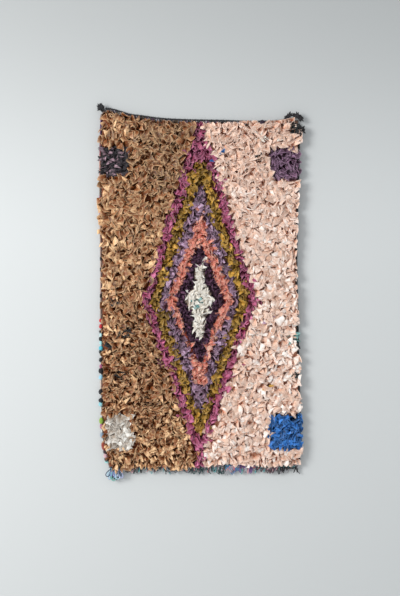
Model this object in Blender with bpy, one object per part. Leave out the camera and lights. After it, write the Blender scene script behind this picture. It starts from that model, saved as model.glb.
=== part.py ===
"""Knotted rag rug, hung flat against a wall by its two top corners.

Metres, +Z up. The back of the woven ground lies in the plane y = 0 and the pile stands out
towards -Y. The origin is on the back, at the top of the cord in the middle of the top edge.
"""

import bmesh
import bpy
import math
import random
from mathutils import Vector

# Size of the whole rug
WIDTH = 1.00
LENGTH = 1.735
GROUND = 0.0045

# Pile: each row of knots is a shingle, rooted under the row above and standing out at its tips
PILE = 0.036
PILE_ROOT = 0.0195
PILE_RIM = 0.023
SHORT_TUFT = 0.0085
TUFT_CHANCE = 0.0035
TIP_SHARE = 0.75
TUFT_SWAY = 0.0070
TUFT_SLIP = 0.0040

# Where the edges run. The top edge sags between the two pinned corners.
TOP_EDGE = (  # across / WIDTH, height
    (-0.4880, 0.0480),
    (-0.4550, 0.0485),
    (-0.4300, 0.0440),
    (-0.4025, 0.0360),
    (-0.3600, 0.0225),
    (-0.2875, 0.0120),
    (-0.2025, 0.0005),
    (-0.1000, -0.0060),
    (0.0000, -0.0088),
    (0.1000, -0.0105),
    (0.2100, -0.0140),
    (0.3600, -0.0130),
    (0.4400, -0.0060),
    (0.4920, 0.0000),
)
SIDE_EDGES = (  # share of the way down, left across / WIDTH, right across / WIDTH
    (0.00, -0.4880, 0.4920),
    (0.06, -0.4930, 0.4930),
    (0.25, -0.4960, 0.4850),
    (0.40, -0.4920, 0.4800),
    (0.55, -0.4920, 0.4850),
    (0.70, -0.4910, 0.4900),
    (0.84, -0.4900, 0.4960),
    (0.92, -0.4830, 0.4990),
    (1.00, -0.4550, 0.4930),
)
BOTTOM_EDGE = (  # across / WIDTH, drop below LENGTH
    (-0.4550, 0.0030),
    (-0.3000, -0.0030),
    (-0.1000, -0.0050),
    (0.1000, -0.0020),
    (0.3000, 0.0020),
    (0.4930, -0.0060),
)

# The bare woven heading between the top cord and the first row of pile
HEADING_LEFT = 0.016
HEADING_RIGHT = 0.005
HEADING_STEP = 0.005

# The grid of tufts. Its rows are the heading's edge and foot, roots and tips in turn, and the rim.
TUFTS_ACROSS = 42
KNOT_ROWS = 36
LAST_TIPS = 1 + 2 * KNOT_ROWS
RIM_ROW = LAST_TIPS + 1
RIM = 0.006
LIP = 0.0125
OVERHANG = 0.004

# Locks: loose rag ends that stand out past the rim
LOCK_SHARE = 0.80
LOCK_TAPER = 0.55
LOCK_THIN = 0.45
SIDE_LOCKS = (0.004, 0.016, 0.50)  # shortest, longest, droop
BOTTOM_LOCKS = (0.008, 0.024, 0.0)
TOP_LOCKS = (0.004, 0.012, 0.0)

# Edge cords
PIECE_GAP = 0.0004
CORD_RADIUS = 0.0042
CORD_POINTS = 46
CORD_ENDS = (-0.470, 0.412)
CORD_KNOT_ACROSS = 0.3075
CORD_KNOT_SWELL = 1.15
CORD_KNOT_REACH = 0.010
SELVEDGE_RADIUS = 0.0047
SELVEDGE_WAIST = 0.74
SELVEDGE_TURNS = 58
LEFT_SELVEDGE_SPAN = (0.030, 0.985)
RIGHT_SELVEDGE_SPAN = (0.012, 0.985)

# Corner knots
KNOT_RADIUS = (0.0125, 0.0100, 0.0145)
KNOT_PLACE = (-0.4930, -0.0175, 0.0590)
KNOT_STUBS = 14
KNOT_STUB_LENGTH = 0.0075
LOOP_TUBE = 0.0058
LOOP_KNOBS = 6
LOOP_PATH = (  # across, height: a knotted loop over the right corner
    (0.4270, 0.0005),
    (0.4370, 0.0110),
    (0.4500, 0.0200),
    (0.4700, 0.0240),
    (0.4880, 0.0200),
    (0.5020, 0.0105),
    (0.5120, -0.0020),
)

# The fringe of thrums along the bottom, and the tassel at its left end
FRINGE_SPAN = (-0.372, 0.486)
FRINGE_STRIP = (0.0075, 0.0070)
FRINGE_THRUMS = 72
THRUM_LENGTH = (0.010, 0.028)
TASSEL_SPAN = (-0.452, -0.382)
TASSEL_THRUMS = 7
TASSEL_LENGTH = (0.028, 0.048)
THRUM_TAPER = 0.50

# The pattern: nested lozenges round a middle, two fields and a square in each corner
LOZENGE_MIDDLE = 0.905
LOZENGE_BULGE = 0.88
LOZENGES = (  # colour, half width, half length above, half length below
    ("ivory", 0.055, 0.190, 0.185),
    ("aubergine", 0.105, 0.300, 0.305),
    ("coral", 0.148, 0.425, 0.430),
    ("lilac", 0.193, 0.585, 0.565),
    ("olive", 0.236, 0.710, 0.680),
    ("magenta", 0.280, 0.905, 0.835),
)
SQUARES = (  # colour, left, right, top, bottom, as across and drop
    ("charcoal", -0.520, -0.352, 0.130, 0.288),
    ("violet", 0.350, 0.520, 0.140, 0.298),
    ("chalk", -0.475, -0.335, 1.475, 1.635),
    ("blue", 0.335, 0.530, 1.475, 1.632),
)
COLOURS = {
    "tan": (0.43, 0.26, 0.14),
    "blush": (0.78, 0.60, 0.49),
    "magenta": (0.33, 0.06, 0.20),
    "olive": (0.31, 0.21, 0.03),
    "lilac": (0.21, 0.13, 0.26),
    "coral": (0.76, 0.25, 0.16),
    "aubergine": (0.05, 0.02, 0.06),
    "ivory": (0.72, 0.69, 0.60),
    "charcoal": (0.035, 0.035, 0.045),
    "violet": (0.13, 0.07, 0.15),
    "chalk": (0.70, 0.66, 0.60),
    "blue": (0.03, 0.16, 0.50),
}
ROUGHNESS = 0.85


def clear_scene():
    for obj in list(bpy.data.objects):
        bpy.data.objects.remove(obj, do_unlink=True)


def material(name, colour):
    """A plain cloth finish of one colour."""
    made = bpy.data.materials.new(name)
    made.use_nodes = True
    shader = made.node_tree.nodes["Principled BSDF"]
    shader.inputs["Base Color"].default_value = (*colour, 1.0)
    shader.inputs["Roughness"].default_value = ROUGHNESS
    shader.inputs["Metallic"].default_value = 0.0
    return made


def smooth_between(rows, key, column):
    """A smooth value of one column of a table at key, by Catmull-Rom through its rows."""
    key = min(max(key, rows[0][0]), rows[-1][0])
    at = max(k for k in range(len(rows) - 1) if rows[k][0] <= key)
    before, after = rows[at], rows[at + 1]
    first = rows[max(at - 1, 0)]
    last = rows[min(at + 2, len(rows) - 1)]
    span = after[0] - before[0]
    t = (key - before[0]) / span
    slope_in = (after[column] - first[column]) / (after[0] - first[0]) * span
    slope_out = (last[column] - before[column]) / (last[0] - before[0]) * span
    return (
        (2 * t**3 - 3 * t**2 + 1) * before[column]
        + (t**3 - 2 * t**2 + t) * slope_in
        + (3 * t**2 - 2 * t**3) * after[column]
        + (t**3 - t**2) * slope_out
    )


def top_height(across):
    return smooth_between(TOP_EDGE, across / WIDTH, 1)


def bottom_height(across):
    return -LENGTH - smooth_between(BOTTOM_EDGE, across / WIDTH, 1)


def side_point(share_down, column):
    """A point (across, height) of the left edge (column 1) or the right edge (column 2)."""
    top_row = TOP_EDGE[0] if column == 1 else TOP_EDGE[-1]
    bottom_row = BOTTOM_EDGE[0] if column == 1 else BOTTOM_EDGE[-1]
    high, low = top_row[1], -LENGTH - bottom_row[1]
    across = smooth_between(SIDE_EDGES, share_down, column) * WIDTH
    return across, high + (low - high) * share_down


def ground_point(share_across, share_down):
    """A point (across, height) of the ground: a Coons patch between its four edges."""
    left = side_point(share_down, 1)
    right = side_point(share_down, 2)
    top_left, top_right = side_point(0, 1), side_point(0, 2)
    low_left, low_right = side_point(1, 1), side_point(1, 2)
    top_across = top_left[0] + (top_right[0] - top_left[0]) * share_across
    low_across = low_left[0] + (low_right[0] - low_left[0]) * share_across
    top = (top_across, top_height(top_across))
    low = (low_across, bottom_height(low_across))
    point = []
    for axis in (0, 1):
        ruled = (1 - share_down) * top[axis] + share_down * low[axis]
        ruled += (1 - share_across) * left[axis] + share_across * right[axis]
        corners = (1 - share_down) * (
            (1 - share_across) * top_left[axis] + share_across * top_right[axis]
        ) + share_down * (
            (1 - share_across) * low_left[axis] + share_across * low_right[axis]
        )
        point.append(ruled - corners)
    return tuple(point)


def colour_at(across, height):
    """The name of the pattern's colour at a place on the rug."""
    drop = -height
    for name, left, right, high, low in SQUARES:
        if left < across < right and high < drop < low:
            return name
    for name, half_width, above, below in LOZENGES:
        reach = above if drop < LOZENGE_MIDDLE else below
        left_over = 1 - abs(drop - LOZENGE_MIDDLE) / reach
        if left_over > 0 and abs(across) < half_width * left_over**LOZENGE_BULGE:
            return name
    return "tan" if across < 0 else "blush"


def column_shares():
    """Shares across the rug of the grid's columns: a narrow rim, even tufts, a narrow rim."""
    rim = RIM / WIDTH
    even = [rim + (1 - 2 * rim) * k / (TUFTS_ACROSS - 2) for k in range(TUFTS_ACROSS - 1)]
    return [0.0, *even, 1.0]


def share_down(row, share_across):
    """How far down the rug a row of the grid runs."""
    heading = HEADING_LEFT + (HEADING_RIGHT - HEADING_LEFT) * share_across
    if row < 2:
        return row * heading / LENGTH
    if row == RIM_ROW:
        return 1.0
    start = (heading + HEADING_STEP) / LENGTH
    knot_row, is_tip = divmod(row - 2, 2)
    pitch = (1 - RIM / LENGTH - start) / (KNOT_ROWS - 1 + TIP_SHARE)
    return start + (knot_row + is_tip * TIP_SHARE) * pitch


def tuft_depth(column, row, chance):
    """How far the pile stands out at a point of the grid. Long and short tufts take turns."""
    if row < 2:
        return GROUND
    if column in (0, TUFTS_ACROSS) or row == RIM_ROW:
        return LIP
    knot_row, is_tip = divmod(row - 2, 2)
    depth = PILE if is_tip else PILE_ROOT
    if is_tip and (column + knot_row) % 2:
        depth -= SHORT_TUFT
    depth += TUFT_CHANCE * chance.uniform(-1, 1)
    near_rim = column in (1, TUFTS_ACROSS - 1) or row in (2, LAST_TIPS)
    return min(depth, PILE_RIM) if near_rim else depth


def place_tufts(grid, chance):
    """Moves the flat grid's points onto the rug's front. Returns the point at each (column, row)."""
    shares = column_shares()
    points = {}
    for vert in grid.verts:
        column = round((vert.co.x + 0.5) * TUFTS_ACROSS)
        row = round((0.5 - vert.co.y) * RIM_ROW)
        points[column, row] = vert
    for row in range(RIM_ROW + 1):
        for column in range(TUFTS_ACROSS + 1):
            across, height = ground_point(shares[column], share_down(row, shares[column]))
            if 1 < column < TUFTS_ACROSS - 1 and 2 < row < LAST_TIPS:
                across += chance.uniform(-TUFT_SWAY, TUFT_SWAY)
                height += chance.uniform(-TUFT_SLIP, TUFT_SLIP)
            if row > 1:
                across += OVERHANG * ((column == TUFTS_ACROSS) - (column == 0))
            if row == RIM_ROW:
                height -= OVERHANG
            points[column, row].co = (across, -tuft_depth(column, row, chance), height)
    return points


def push_out(grid):
    """Extrudes the open border. Returns its new points, each with the point that it came from."""
    border = [edge for edge in grid.edges if edge.is_boundary]
    made = bmesh.ops.extrude_edge_only(grid, edges=border)["geom"]
    made_points = {item for item in made if isinstance(item, bmesh.types.BMVert)}
    pairs = []
    for vert in made_points:
        others = [edge.other_vert(vert) for edge in vert.link_edges]
        pairs.append((vert, next(v for v in others if v not in made_points)))
    return pairs


def close_back(grid, points):
    """Draws the border in under the pile's lip and back to the wall, and fills the flat back."""
    keys = {vert: key for key, vert in points.items()}
    for vert, source in push_out(grid):
        column, row = keys[source]
        if row < 2:
            vert.co.y = -0.6 * GROUND
            continue
        vert.co.x -= OVERHANG * ((column == TUFTS_ACROSS) - (column == 0))
        vert.co.z += OVERHANG * (row == RIM_ROW)
    for vert, _ in push_out(grid):
        vert.co.y = 0.0
    edges = [edge for edge in grid.edges if edge.is_boundary]
    back = bmesh.ops.contextual_create(grid, geom=edges)["faces"]
    bmesh.ops.triangulate(grid, faces=back, ngon_method="BEAUTY")
    quads = [face for face in grid.faces if len(face.verts) == 4]
    bmesh.ops.triangulate(grid, faces=quads, quad_method="SHORT_EDGE")


def pull_lock(face, way, length, chance):
    """Draws one face of the rim out into a tapering rag end."""
    middle = face.calc_center_median()
    shift = Vector(way).normalized() * length
    for vert in face.verts:
        offset = vert.co - middle
        offset.x *= LOCK_TAPER
        offset.z *= LOCK_TAPER
        offset.y *= LOCK_THIN
        vert.co = middle + offset + shift
    lowest = max(v.co.y for v in face.verts)
    clear = -(LIP - 0.0005)
    for vert in face.verts:
        vert.co.y += min(0.0, clear - lowest) * chance.uniform(1.0, 1.3)


def lock_way(column, row):
    """The edge that a cell of the grid lies on: its outward way and its lengths. None inside."""
    if 2 < row < LAST_TIPS and column in (0, TUFTS_ACROSS - 1):
        return (-1 if column == 0 else 1), 0, SIDE_LOCKS
    if row == LAST_TIPS and 0 < column < TUFTS_ACROSS - 1:
        return 0, -1, BOTTOM_LOCKS
    if row == 1 and 1 < column < TUFTS_ACROSS - 2:
        return 0, 1, TOP_LOCKS
    return None


def add_locks(grid, points, chance):
    """Rag ends along all four sides of the pile, with some left out so that the rim is uneven."""
    keys = {vert: key for key, vert in points.items()}
    ways = {}
    for face in grid.faces:
        corners = [keys[vert] for vert in face.verts]
        way = lock_way(min(c for c, _ in corners), min(r for _, r in corners))
        if way and chance.random() < LOCK_SHARE:
            ways[face] = way
    pulled = bmesh.ops.extrude_discrete_faces(grid, faces=list(ways))["faces"]
    for face, (across, up, (short, long, droop)) in zip(pulled, ways.values()):
        sway = chance.uniform(-0.15, 0.15)
        if across:
            way = (across, -0.25, sway - droop)
        else:
            way = (sway, -0.25, up)
        pull_lock(face, way, chance.uniform(short, long), chance)


def to_object(shape, name, collection, finishes):
    """Turns a bmesh into a named object with its materials."""
    bmesh.ops.recalc_face_normals(shape, faces=shape.faces)
    mesh = bpy.data.meshes.new(name)
    shape.to_mesh(mesh)
    shape.free()
    made = bpy.data.objects.new(name, mesh)
    for finish in finishes:
        mesh.materials.append(finish)
    collection.objects.link(made)
    return made


def rug_body(collection, finishes):
    """The ground with its pile: a lumpy slab, flat behind, with rag ends at its rim."""
    chance = random.Random(11)
    grid = bmesh.new()
    bmesh.ops.create_grid(grid, x_segments=TUFTS_ACROSS, y_segments=RIM_ROW, size=0.5)
    points = place_tufts(grid, chance)
    add_locks(grid, points, chance)
    close_back(grid, points)
    names = list(finishes)
    body = to_object(grid, "rug_body", collection, list(finishes.values()))
    for face in body.data.polygons:
        name = colour_at(face.center.x, face.center.z)
        face.material_index = names.index(name)
    return body


def cord_object(name, path, radii, thickness, sides, collection, finish):
    """A closed tube through a list of points, with its own thickness at each."""
    curve = bpy.data.curves.new(name, "CURVE")
    curve.dimensions = "3D"
    curve.bevel_depth = thickness
    curve.bevel_resolution = sides
    curve.use_fill_caps = True
    spline = curve.splines.new("POLY")
    spline.points.add(len(path) - 1)
    for point, place, radius in zip(spline.points, path, radii):
        point.co = (*place, 1.0)
        point.radius = radius
    made = bpy.data.objects.new(name, curve)
    curve.materials.append(finish)
    collection.objects.link(made)
    return made


def top_cord(collection, finish):
    """The twined cord that closes the top edge, with one knot tied in it."""
    path, radii = [], []
    start, end = CORD_ENDS
    for k in range(CORD_POINTS):
        across = start + (end - start) * k / (CORD_POINTS - 1)
        slope = (top_height(across + 0.002) - top_height(across - 0.002)) / 0.004
        rise = (CORD_RADIUS + PIECE_GAP) * math.sqrt(1 + slope**2)
        path.append((across, -CORD_RADIUS - PIECE_GAP, top_height(across) + rise))
        near = (across - CORD_KNOT_ACROSS) / CORD_KNOT_REACH
        radii.append(1 + CORD_KNOT_SWELL * math.exp(-(near**2)))
    for k, radius in enumerate(radii):
        x, y, z = path[k]
        swell = CORD_RADIUS * (radius - 1)
        path[k] = (x, y - swell, z + swell)
    return cord_object("top_cord", path, radii, CORD_RADIUS, 2, collection, finish)


def selvedge(name, column, span, collection, finish):
    """Wrapped side edge: one swell for each turn of rag over the outer warps."""
    outward = -1 if column == 1 else 1
    path, radii = [], []
    steps = 2 * SELVEDGE_TURNS
    for k in range(steps + 1):
        share = span[0] + (span[1] - span[0]) * k / steps
        ahead = side_point(min(share + 0.01, 1), column)
        behind = side_point(share - 0.01, column)
        lean = (ahead[0] - behind[0]) / (ahead[1] - behind[1])
        out = (SELVEDGE_RADIUS + PIECE_GAP) * math.sqrt(1 + lean**2)
        across, height = side_point(share, column)
        depth = SELVEDGE_RADIUS + PIECE_GAP
        path.append((across + outward * out, -depth, height))
        radii.append(1.0 if k % 2 else SELVEDGE_WAIST)
    return cord_object(name, path, radii, SELVEDGE_RADIUS, 1, collection, finish)


def corner_knot(collection, finish):
    """The bunched yarn knot at the pinned left corner, with stubby cut ends."""
    chance = random.Random(5)
    shape = bmesh.new()
    bmesh.ops.create_icosphere(shape, subdivisions=2, radius=1.0)
    for vert in shape.verts:
        swell = chance.uniform(0.86, 1.08)
        vert.co = Vector(r * c * swell for r, c in zip(KNOT_RADIUS, vert.co))
    outward = [f for f in shape.faces if f.normal.y < 0.35]
    picked = outward[:: max(1, len(outward) // KNOT_STUBS)]
    for face in bmesh.ops.extrude_discrete_faces(shape, faces=picked)["faces"]:
        middle = face.calc_center_median()
        shift = face.normal * KNOT_STUB_LENGTH * chance.uniform(0.6, 1.1)
        for vert in face.verts:
            vert.co = middle + (vert.co - middle) * 0.8 + shift
    for vert in shape.verts:
        vert.co += Vector(KNOT_PLACE)
    return to_object(shape, "corner_knot", collection, [finish])


def corner_loop(collection, finish):
    """The knotted loop over the pinned right corner: an arch with a row of knobs."""
    rows = [(k, *row) for k, row in enumerate(LOOP_PATH)]
    steps = 4 * LOOP_KNOBS
    path, radii = [], []
    for k in range(steps + 1):
        at = k / steps * (len(rows) - 1)
        across = smooth_between(rows, at, 1)
        height = smooth_between(rows, at, 2)
        path.append((across, -LOOP_TUBE * 1.35, height))
        radii.append(1.0 + 0.25 * math.cos(2 * math.pi * k / 4))
    return cord_object("corner_loop", path, radii, LOOP_TUBE, 2, collection, finish)


def fringe(name, span, thrums, lengths, seed, collection, finish):
    """A narrow strip under the rug's lower edge with loose yarn ends hanging from it."""
    chance = random.Random(seed)
    tall, deep = FRINGE_STRIP
    cells = 2 * thrums + 1
    bar = bmesh.new()
    bmesh.ops.create_grid(bar, x_segments=cells, y_segments=1, size=0.5)
    for vert in bar.verts:
        across = span[0] + (span[1] - span[0]) * (vert.co.x + 0.5)
        front = vert.co.y < 0
        foot = bottom_height(across) - PIECE_GAP - tall
        vert.co = (across, -PIECE_GAP - deep * front, foot)
    thrum_faces = sorted(bar.faces, key=lambda f: f.calc_center_median().x)[1::2]
    faces = bmesh.ops.extrude_discrete_faces(bar, faces=thrum_faces)["faces"]
    sway = chance.uniform(0, math.tau)
    for face in faces:
        middle = face.calc_center_median()
        lean = 0.18 * math.sin(60 * middle.x + sway) + chance.uniform(-0.08, 0.08)
        length = chance.uniform(*lengths)
        shift = Vector((lean * length, -0.05 * length, -length))
        for vert in face.verts:
            vert.co = middle + (vert.co - middle) * THRUM_TAPER + shift
    edges = [e for e in bar.edges if e.is_boundary]
    made = bmesh.ops.extrude_edge_only(bar, edges=edges)["geom"]
    for vert in made:
        if isinstance(vert, bmesh.types.BMVert):
            vert.co.z += tall
    top = bmesh.ops.contextual_create(bar, geom=[e for e in bar.edges if e.is_boundary])
    bmesh.ops.triangulate(bar, faces=top["faces"], ngon_method="BEAUTY")
    return to_object(bar, name, collection, [finish])


def main():
    clear_scene()
    collection = bpy.data.collections.new("rag_rug")
    bpy.context.scene.collection.children.link(collection)
    finishes = {name: material(name, colour) for name, colour in COLOURS.items()}
    charcoal = finishes["charcoal"]
    rug_body(collection, finishes)
    top_cord(collection, charcoal)
    corner_knot(collection, charcoal)
    corner_loop(collection, charcoal)
    selvedge("left_selvedge", 1, LEFT_SELVEDGE_SPAN, collection, charcoal)
    selvedge("right_selvedge", 2, RIGHT_SELVEDGE_SPAN, collection, charcoal)
    fringe(
        "bottom_fringe", FRINGE_SPAN, FRINGE_THRUMS, THRUM_LENGTH, 3, collection, charcoal
    )
    fringe(
        "corner_tassel", TASSEL_SPAN, TASSEL_THRUMS, TASSEL_LENGTH, 8, collection,
        finishes["blue"],
    )


main()
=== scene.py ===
"""Knotted rag rug, hung by its two top corners.

The packed rug is the fixed frame. A woven ground sheet carries thousands of torn rag strips, knotted
in rows and coloured by the rug's pattern, with a twined top cord, wrapped sides, corner knots, a
fringe and a tassel round its edges. Metres, +Z up, the pile towards -Y.
"""

import math
from typing import NamedTuple

import bpy
import numpy as np
from bpy.props import FloatProperty, FloatVectorProperty, IntProperty, PointerProperty
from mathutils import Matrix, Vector


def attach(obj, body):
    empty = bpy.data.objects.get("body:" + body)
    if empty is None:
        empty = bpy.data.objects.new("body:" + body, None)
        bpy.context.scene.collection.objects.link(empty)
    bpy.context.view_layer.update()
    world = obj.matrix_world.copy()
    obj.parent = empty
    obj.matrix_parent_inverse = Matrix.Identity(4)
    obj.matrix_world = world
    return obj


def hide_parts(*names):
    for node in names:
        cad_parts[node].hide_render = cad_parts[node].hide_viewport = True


bl_info = {
    "name": "Knotted rag rug",
    "version": (1, 0, 0),
    "blender": (4, 5, 0),
    "location": "3D View > Sidebar > Rag rug",
    "description": "Builds a hung rag rug: its ground, pile, edges, fringe and the stage",
    "category": "Add Mesh",
}

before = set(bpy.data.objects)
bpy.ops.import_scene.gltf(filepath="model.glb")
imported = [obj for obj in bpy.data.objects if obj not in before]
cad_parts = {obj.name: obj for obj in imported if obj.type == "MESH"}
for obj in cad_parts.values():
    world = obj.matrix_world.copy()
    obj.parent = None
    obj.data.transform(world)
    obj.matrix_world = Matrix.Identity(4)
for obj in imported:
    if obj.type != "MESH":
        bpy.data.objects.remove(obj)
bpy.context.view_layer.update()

# Where the edges of the woven ground run, as the solids have them
LENGTH = 1.735
TOP_EDGE = np.array([  # across, height
    (-0.488, 0.048), (-0.455, 0.0485), (-0.43, 0.044), (-0.4025, 0.036), (-0.36, 0.0225),
    (-0.2875, 0.012), (-0.2025, 0.0005), (-0.1, -0.006), (0.0, -0.0088), (0.1, -0.0105), (0.21, -0.014),
    (0.36, -0.013), (0.44, -0.006), (0.492, 0.0),
])
SIDE_EDGES = np.array([  # share of the way down, left across, right across
    (0.0, -0.488, 0.492), (0.06, -0.493, 0.493), (0.25, -0.496, 0.485), (0.4, -0.492, 0.48),
    (0.55, -0.492, 0.485), (0.7, -0.491, 0.49), (0.84, -0.49, 0.496), (0.92, -0.483, 0.499),
    (1.0, -0.455, 0.493),
])
BOTTOM_EDGE = np.array([  # across, drop below the length
    (-0.455, 0.003), (-0.3, -0.003), (-0.1, -0.005), (0.1, -0.002), (0.3, 0.002), (0.493, -0.006),
])
HEADING = (0.013, 0.006)  # bare weave above the first knots, at the left and the right
CORD_ENDS = (-0.47, 0.412)
CORD_KNOT = 0.3095  # how far across the dark knot in the top cord hangs
TOP_TUFTS = (  # across, how far above the ground the rags reach
    (-0.45, 0.003), (-0.4, 0.006), (-0.34, 0.004), (-0.25, 0.001), (-0.06, 0.0), (0.01, -0.006),
    (0.18, -0.004), (0.215, 0.006), (0.28, 0.005), (0.297, -0.006), (0.322, -0.006), (0.335, 0.006),
    (0.425, 0.006), (0.44, 0.009), (0.48, 0.012),
)
LOW_TUFTS = (  # across, how far below the ground the rags reach
    (-0.43, 0.018), (-0.418, 0.04), (-0.395, 0.04), (-0.383, 0.02), (-0.01, 0.02), (0.01, 0.004),
    (0.48, 0.004),
)

# The pattern, by how far across and how far down its colours show
MIDDLE_DROP = 0.905
FIELD_DROP = 1.02  # below it, both fields are knotted in a second, more finely torn rag
LOZENGES = (  # colour, half width, half length above, below, least half width, furthest down
    ("magenta", 0.286, 0.925, 0.82, 0.02, 9.0),
    ("olive", 0.243, 0.79, 0.705, 0.0, 0.692),
    ("lilac", 0.199, 0.6, 0.57, 0.0, 9.0),
    ("coral", 0.166, 0.425, 0.366, 0.036, 0.425),
    ("aubergine", 0.127, 0.3, 0.345, 0.0, 9.0),
    ("ivory", 0.074, 0.115, 0.12, 0.0, 9.0),
)
IVORY_STEM = (0.024, 0.172, 0.19)  # half width, reach above, reach below
STEM_TAPER = 0.065  # how long the point at the top of a stem is
SQUARES = (  # colour, left, right, top, bottom
    ("charcoal", -0.53, -0.352, 0.142, 0.29),
    ("violet", 0.35, 0.53, 0.15, 0.305),
    ("chalk", -0.454, -0.338, 1.482, 1.642),
    ("blue", 0.346, 0.54, 1.48, 1.642),
)
STRAYS = (  # colour, across, drop, number of knots: odd knots of another rag
    ("black", -0.372, 1.075, 4), ("black", -0.43, 0.94, 1), ("black", -0.4, 0.925, 1),
    ("black", -0.445, 1.145, 1), ("black", -0.39, 1.285, 1), ("black", 0.295, 0.215, 1),
    ("black", 0.49, 0.062, 3), ("black", 0.496, 1.145, 1), ("black", 0.496, 1.265, 1),
    ("ivory", 0.288, 0.095, 2), ("ivory", 0.366, 0.122, 1), ("coral", 0.005, 0.452, 1),
    ("blue", 0.103, 0.206, 1), ("olive", 0.335, 1.35, 1), ("lilac", 0.345, 1.0, 1),
    ("teal", 0.492, 1.08, 3), ("teal", -0.022, 0.922, 2),
)

# Most patches are the rags' own tone; the narrow pale strip down the left edge (-0.485) is painted light
# from the window at the left, and the dark patch over the upper pink (0.25) is painted shade where less
# light falls
TONE_AND_LIGHT_PATCHES = (  # across, drop, half width, half height, how much paler (or darker) the rags are there
    (-0.22, 0.17, 0.15, 0.2, -0.48), (-0.23, 0.95, 0.1, 0.12, -0.2), (-0.2, 1.62, 0.3, 0.14, 0.2),
    (-0.25, 1.12, 0.2, 0.32, -0.14), (-0.45, 1.12, 0.09, 0.1, 0.25), (-0.44, 0.05, 0.1, 0.07, 0.12),
    (-0.485, 0.75, 0.045, 0.35, 0.28), (0.42, 1.2, 0.1, 0.3, 0.14), (0.25, 0.1, 0.3, 0.2, -0.42),
)


class RagLook(NamedTuple):
    """How the strips of one rag are torn and how they lie. Each pair is the least and the most."""

    ends: int  # strips from one knot
    length: tuple
    width: tuple
    lean: tuple  # of the tip from straight out, radians
    roll: float  # how far the edges curl, radians
    fold: float  # share of strips that are pleated
    twist: float  # most turn from root to tip, radians
    ruffle: float  # edge waves as a share of the width
    blunt: tuple  # width of the tip as a share of the strip's
    spread: float  # swing from straight down, radians
    on_edge: float  # share of strips that stand on edge


RAG_LOOKS = {name: RagLook(*row) for name, *row in (
    ("tan_upper", 3, (0.05, 0.086), (0.024, 0.056), (0.5, 1.8), 1.3, 0.3, 0.9, 0.16, (0.4, 1.0), 2.4, 0.3),
    ("tan_lower", 4, (0.046, 0.076), (0.015, 0.038), (0.4, 1.7), 1.4, 0.25, 1.1, 0.18,
     (0.25, 0.9), 2.4, 0.38),
    ("blush_upper", 3, (0.046, 0.078), (0.024, 0.054), (0.8, 1.9), 0.9, 0.55, 0.7, 0.1,
     (0.45, 1.0), 2.2, 0.22),
    ("blush_lower", 3, (0.044, 0.074), (0.022, 0.048), (0.8, 1.9), 0.9, 0.55, 0.7, 0.1,
     (0.4, 1.0), 2.2, 0.22),
    ("magenta", 2, (0.036, 0.06), (0.02, 0.044), (0.5, 1.7), 1.1, 0.4, 0.9, 0.12, (0.3, 0.9), 1.8, 0.25),
    ("olive", 2, (0.034, 0.058), (0.018, 0.04), (0.5, 1.7), 1.1, 0.4, 0.9, 0.12, (0.3, 0.9), 1.8, 0.25),
    ("lilac", 2, (0.034, 0.058), (0.018, 0.042), (0.5, 1.7), 1.1, 0.4, 0.9, 0.12, (0.3, 0.9), 1.8, 0.25),
    ("coral", 3, (0.034, 0.054), (0.018, 0.038), (0.7, 1.8), 1.1, 0.4, 0.7, 0.1, (0.4, 1.0), 2.2, 0.12),
    ("aubergine", 3, (0.028, 0.048), (0.008, 0.02), (0.4, 1.6), 1.2, 0.2, 0.9, 0.1, (0.1, 0.6), 2.4, 0.3),
    ("ivory", 4, (0.036, 0.07), (0.012, 0.03), (0.6, 1.9), 1.0, 0.3, 0.9, 0.1, (0.1, 0.7), 2.6, 0.25),
    ("charcoal", 4, (0.036, 0.062), (0.008, 0.02), (1.2, 1.9), 1.0, 0.3, 0.7, 0.12, (0.4, 1.0), 2.0, 0.2),
    ("violet", 2, (0.038, 0.062), (0.022, 0.046), (0.5, 1.8), 1.1, 0.5, 0.9, 0.14, (0.4, 1.0), 2.0, 0.2),
    ("chalk", 2, (0.048, 0.076), (0.028, 0.056), (1.0, 1.9), 0.9, 0.6, 0.7, 0.1, (0.5, 1.0), 1.8, 0.12),
    ("blue", 3, (0.042, 0.068), (0.026, 0.05), (0.4, 1.8), 1.3, 0.4, 1.0, 0.16, (0.3, 0.9), 2.2, 0.38),
    ("teal", 4, (0.04, 0.06), (0.016, 0.032), (0.8, 1.8), 1.0, 0.3, 0.9, 0.1, (0.2, 0.8), 2.0, 0.3),
    ("black", 7, (0.04, 0.054), (0.022, 0.038), (0.1, 0.8), 1.2, 0.2, 0.9, 0.12, (0.3, 0.9), 2.6, 0.3),
)}
RAG_NAMES = list(RAG_LOOKS)
FIELD_RAGS = 4  # the first four rags are the fields', two for each

# A strip's sections, and the places round each section: how far across, and which side
STRIP_STEPS = 7
ALONG = np.linspace(0, 1, STRIP_STEPS)[None, :]  # share along the strip of each section
FOLD_AT = 0.4  # how far across the folds of a pleated strip lie, as a share of half its width
RING_ACROSS = np.array([-1.0, -FOLD_AT, FOLD_AT, 1.0, FOLD_AT, -FOLD_AT])
RING_SIDE = np.array([0.0, 1.0, 1.0, 0.0, -1.0, -1.0])
WEAVE_SCALE = 40  # coordinates of the cloth's weave to a metre

OUT, INWARDS = np.array([0.0, -1.0, 0.0]), np.array([0.0, 1.0, 0.0])
ASKEW = np.array([0.02, 1.0, 0.05])  # a way that no hanging yarn runs along
ROOT_DEPTH = 0.003  # how far in front of the back plane the strips start
SHOWS_AT = 0.032  # how far from its knot the middle of a strip shows
LEAST_STAND = 0.0016  # how near the back plane a strip may come
BARE_LEFT = 0.58  # below this drop the strips leave the left side's wrapping bare
THIN_RIGHT = (0.72, 0.36)  # middle and half length, down the right side, of its thin pile
TUFT_GIVE = (0.008, 0.02)  # how softly the tufts end at the top and at the bottom
TASSEL = (-0.408, -1.722)  # across and height of the tuft over the tassel


# Settings


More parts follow.
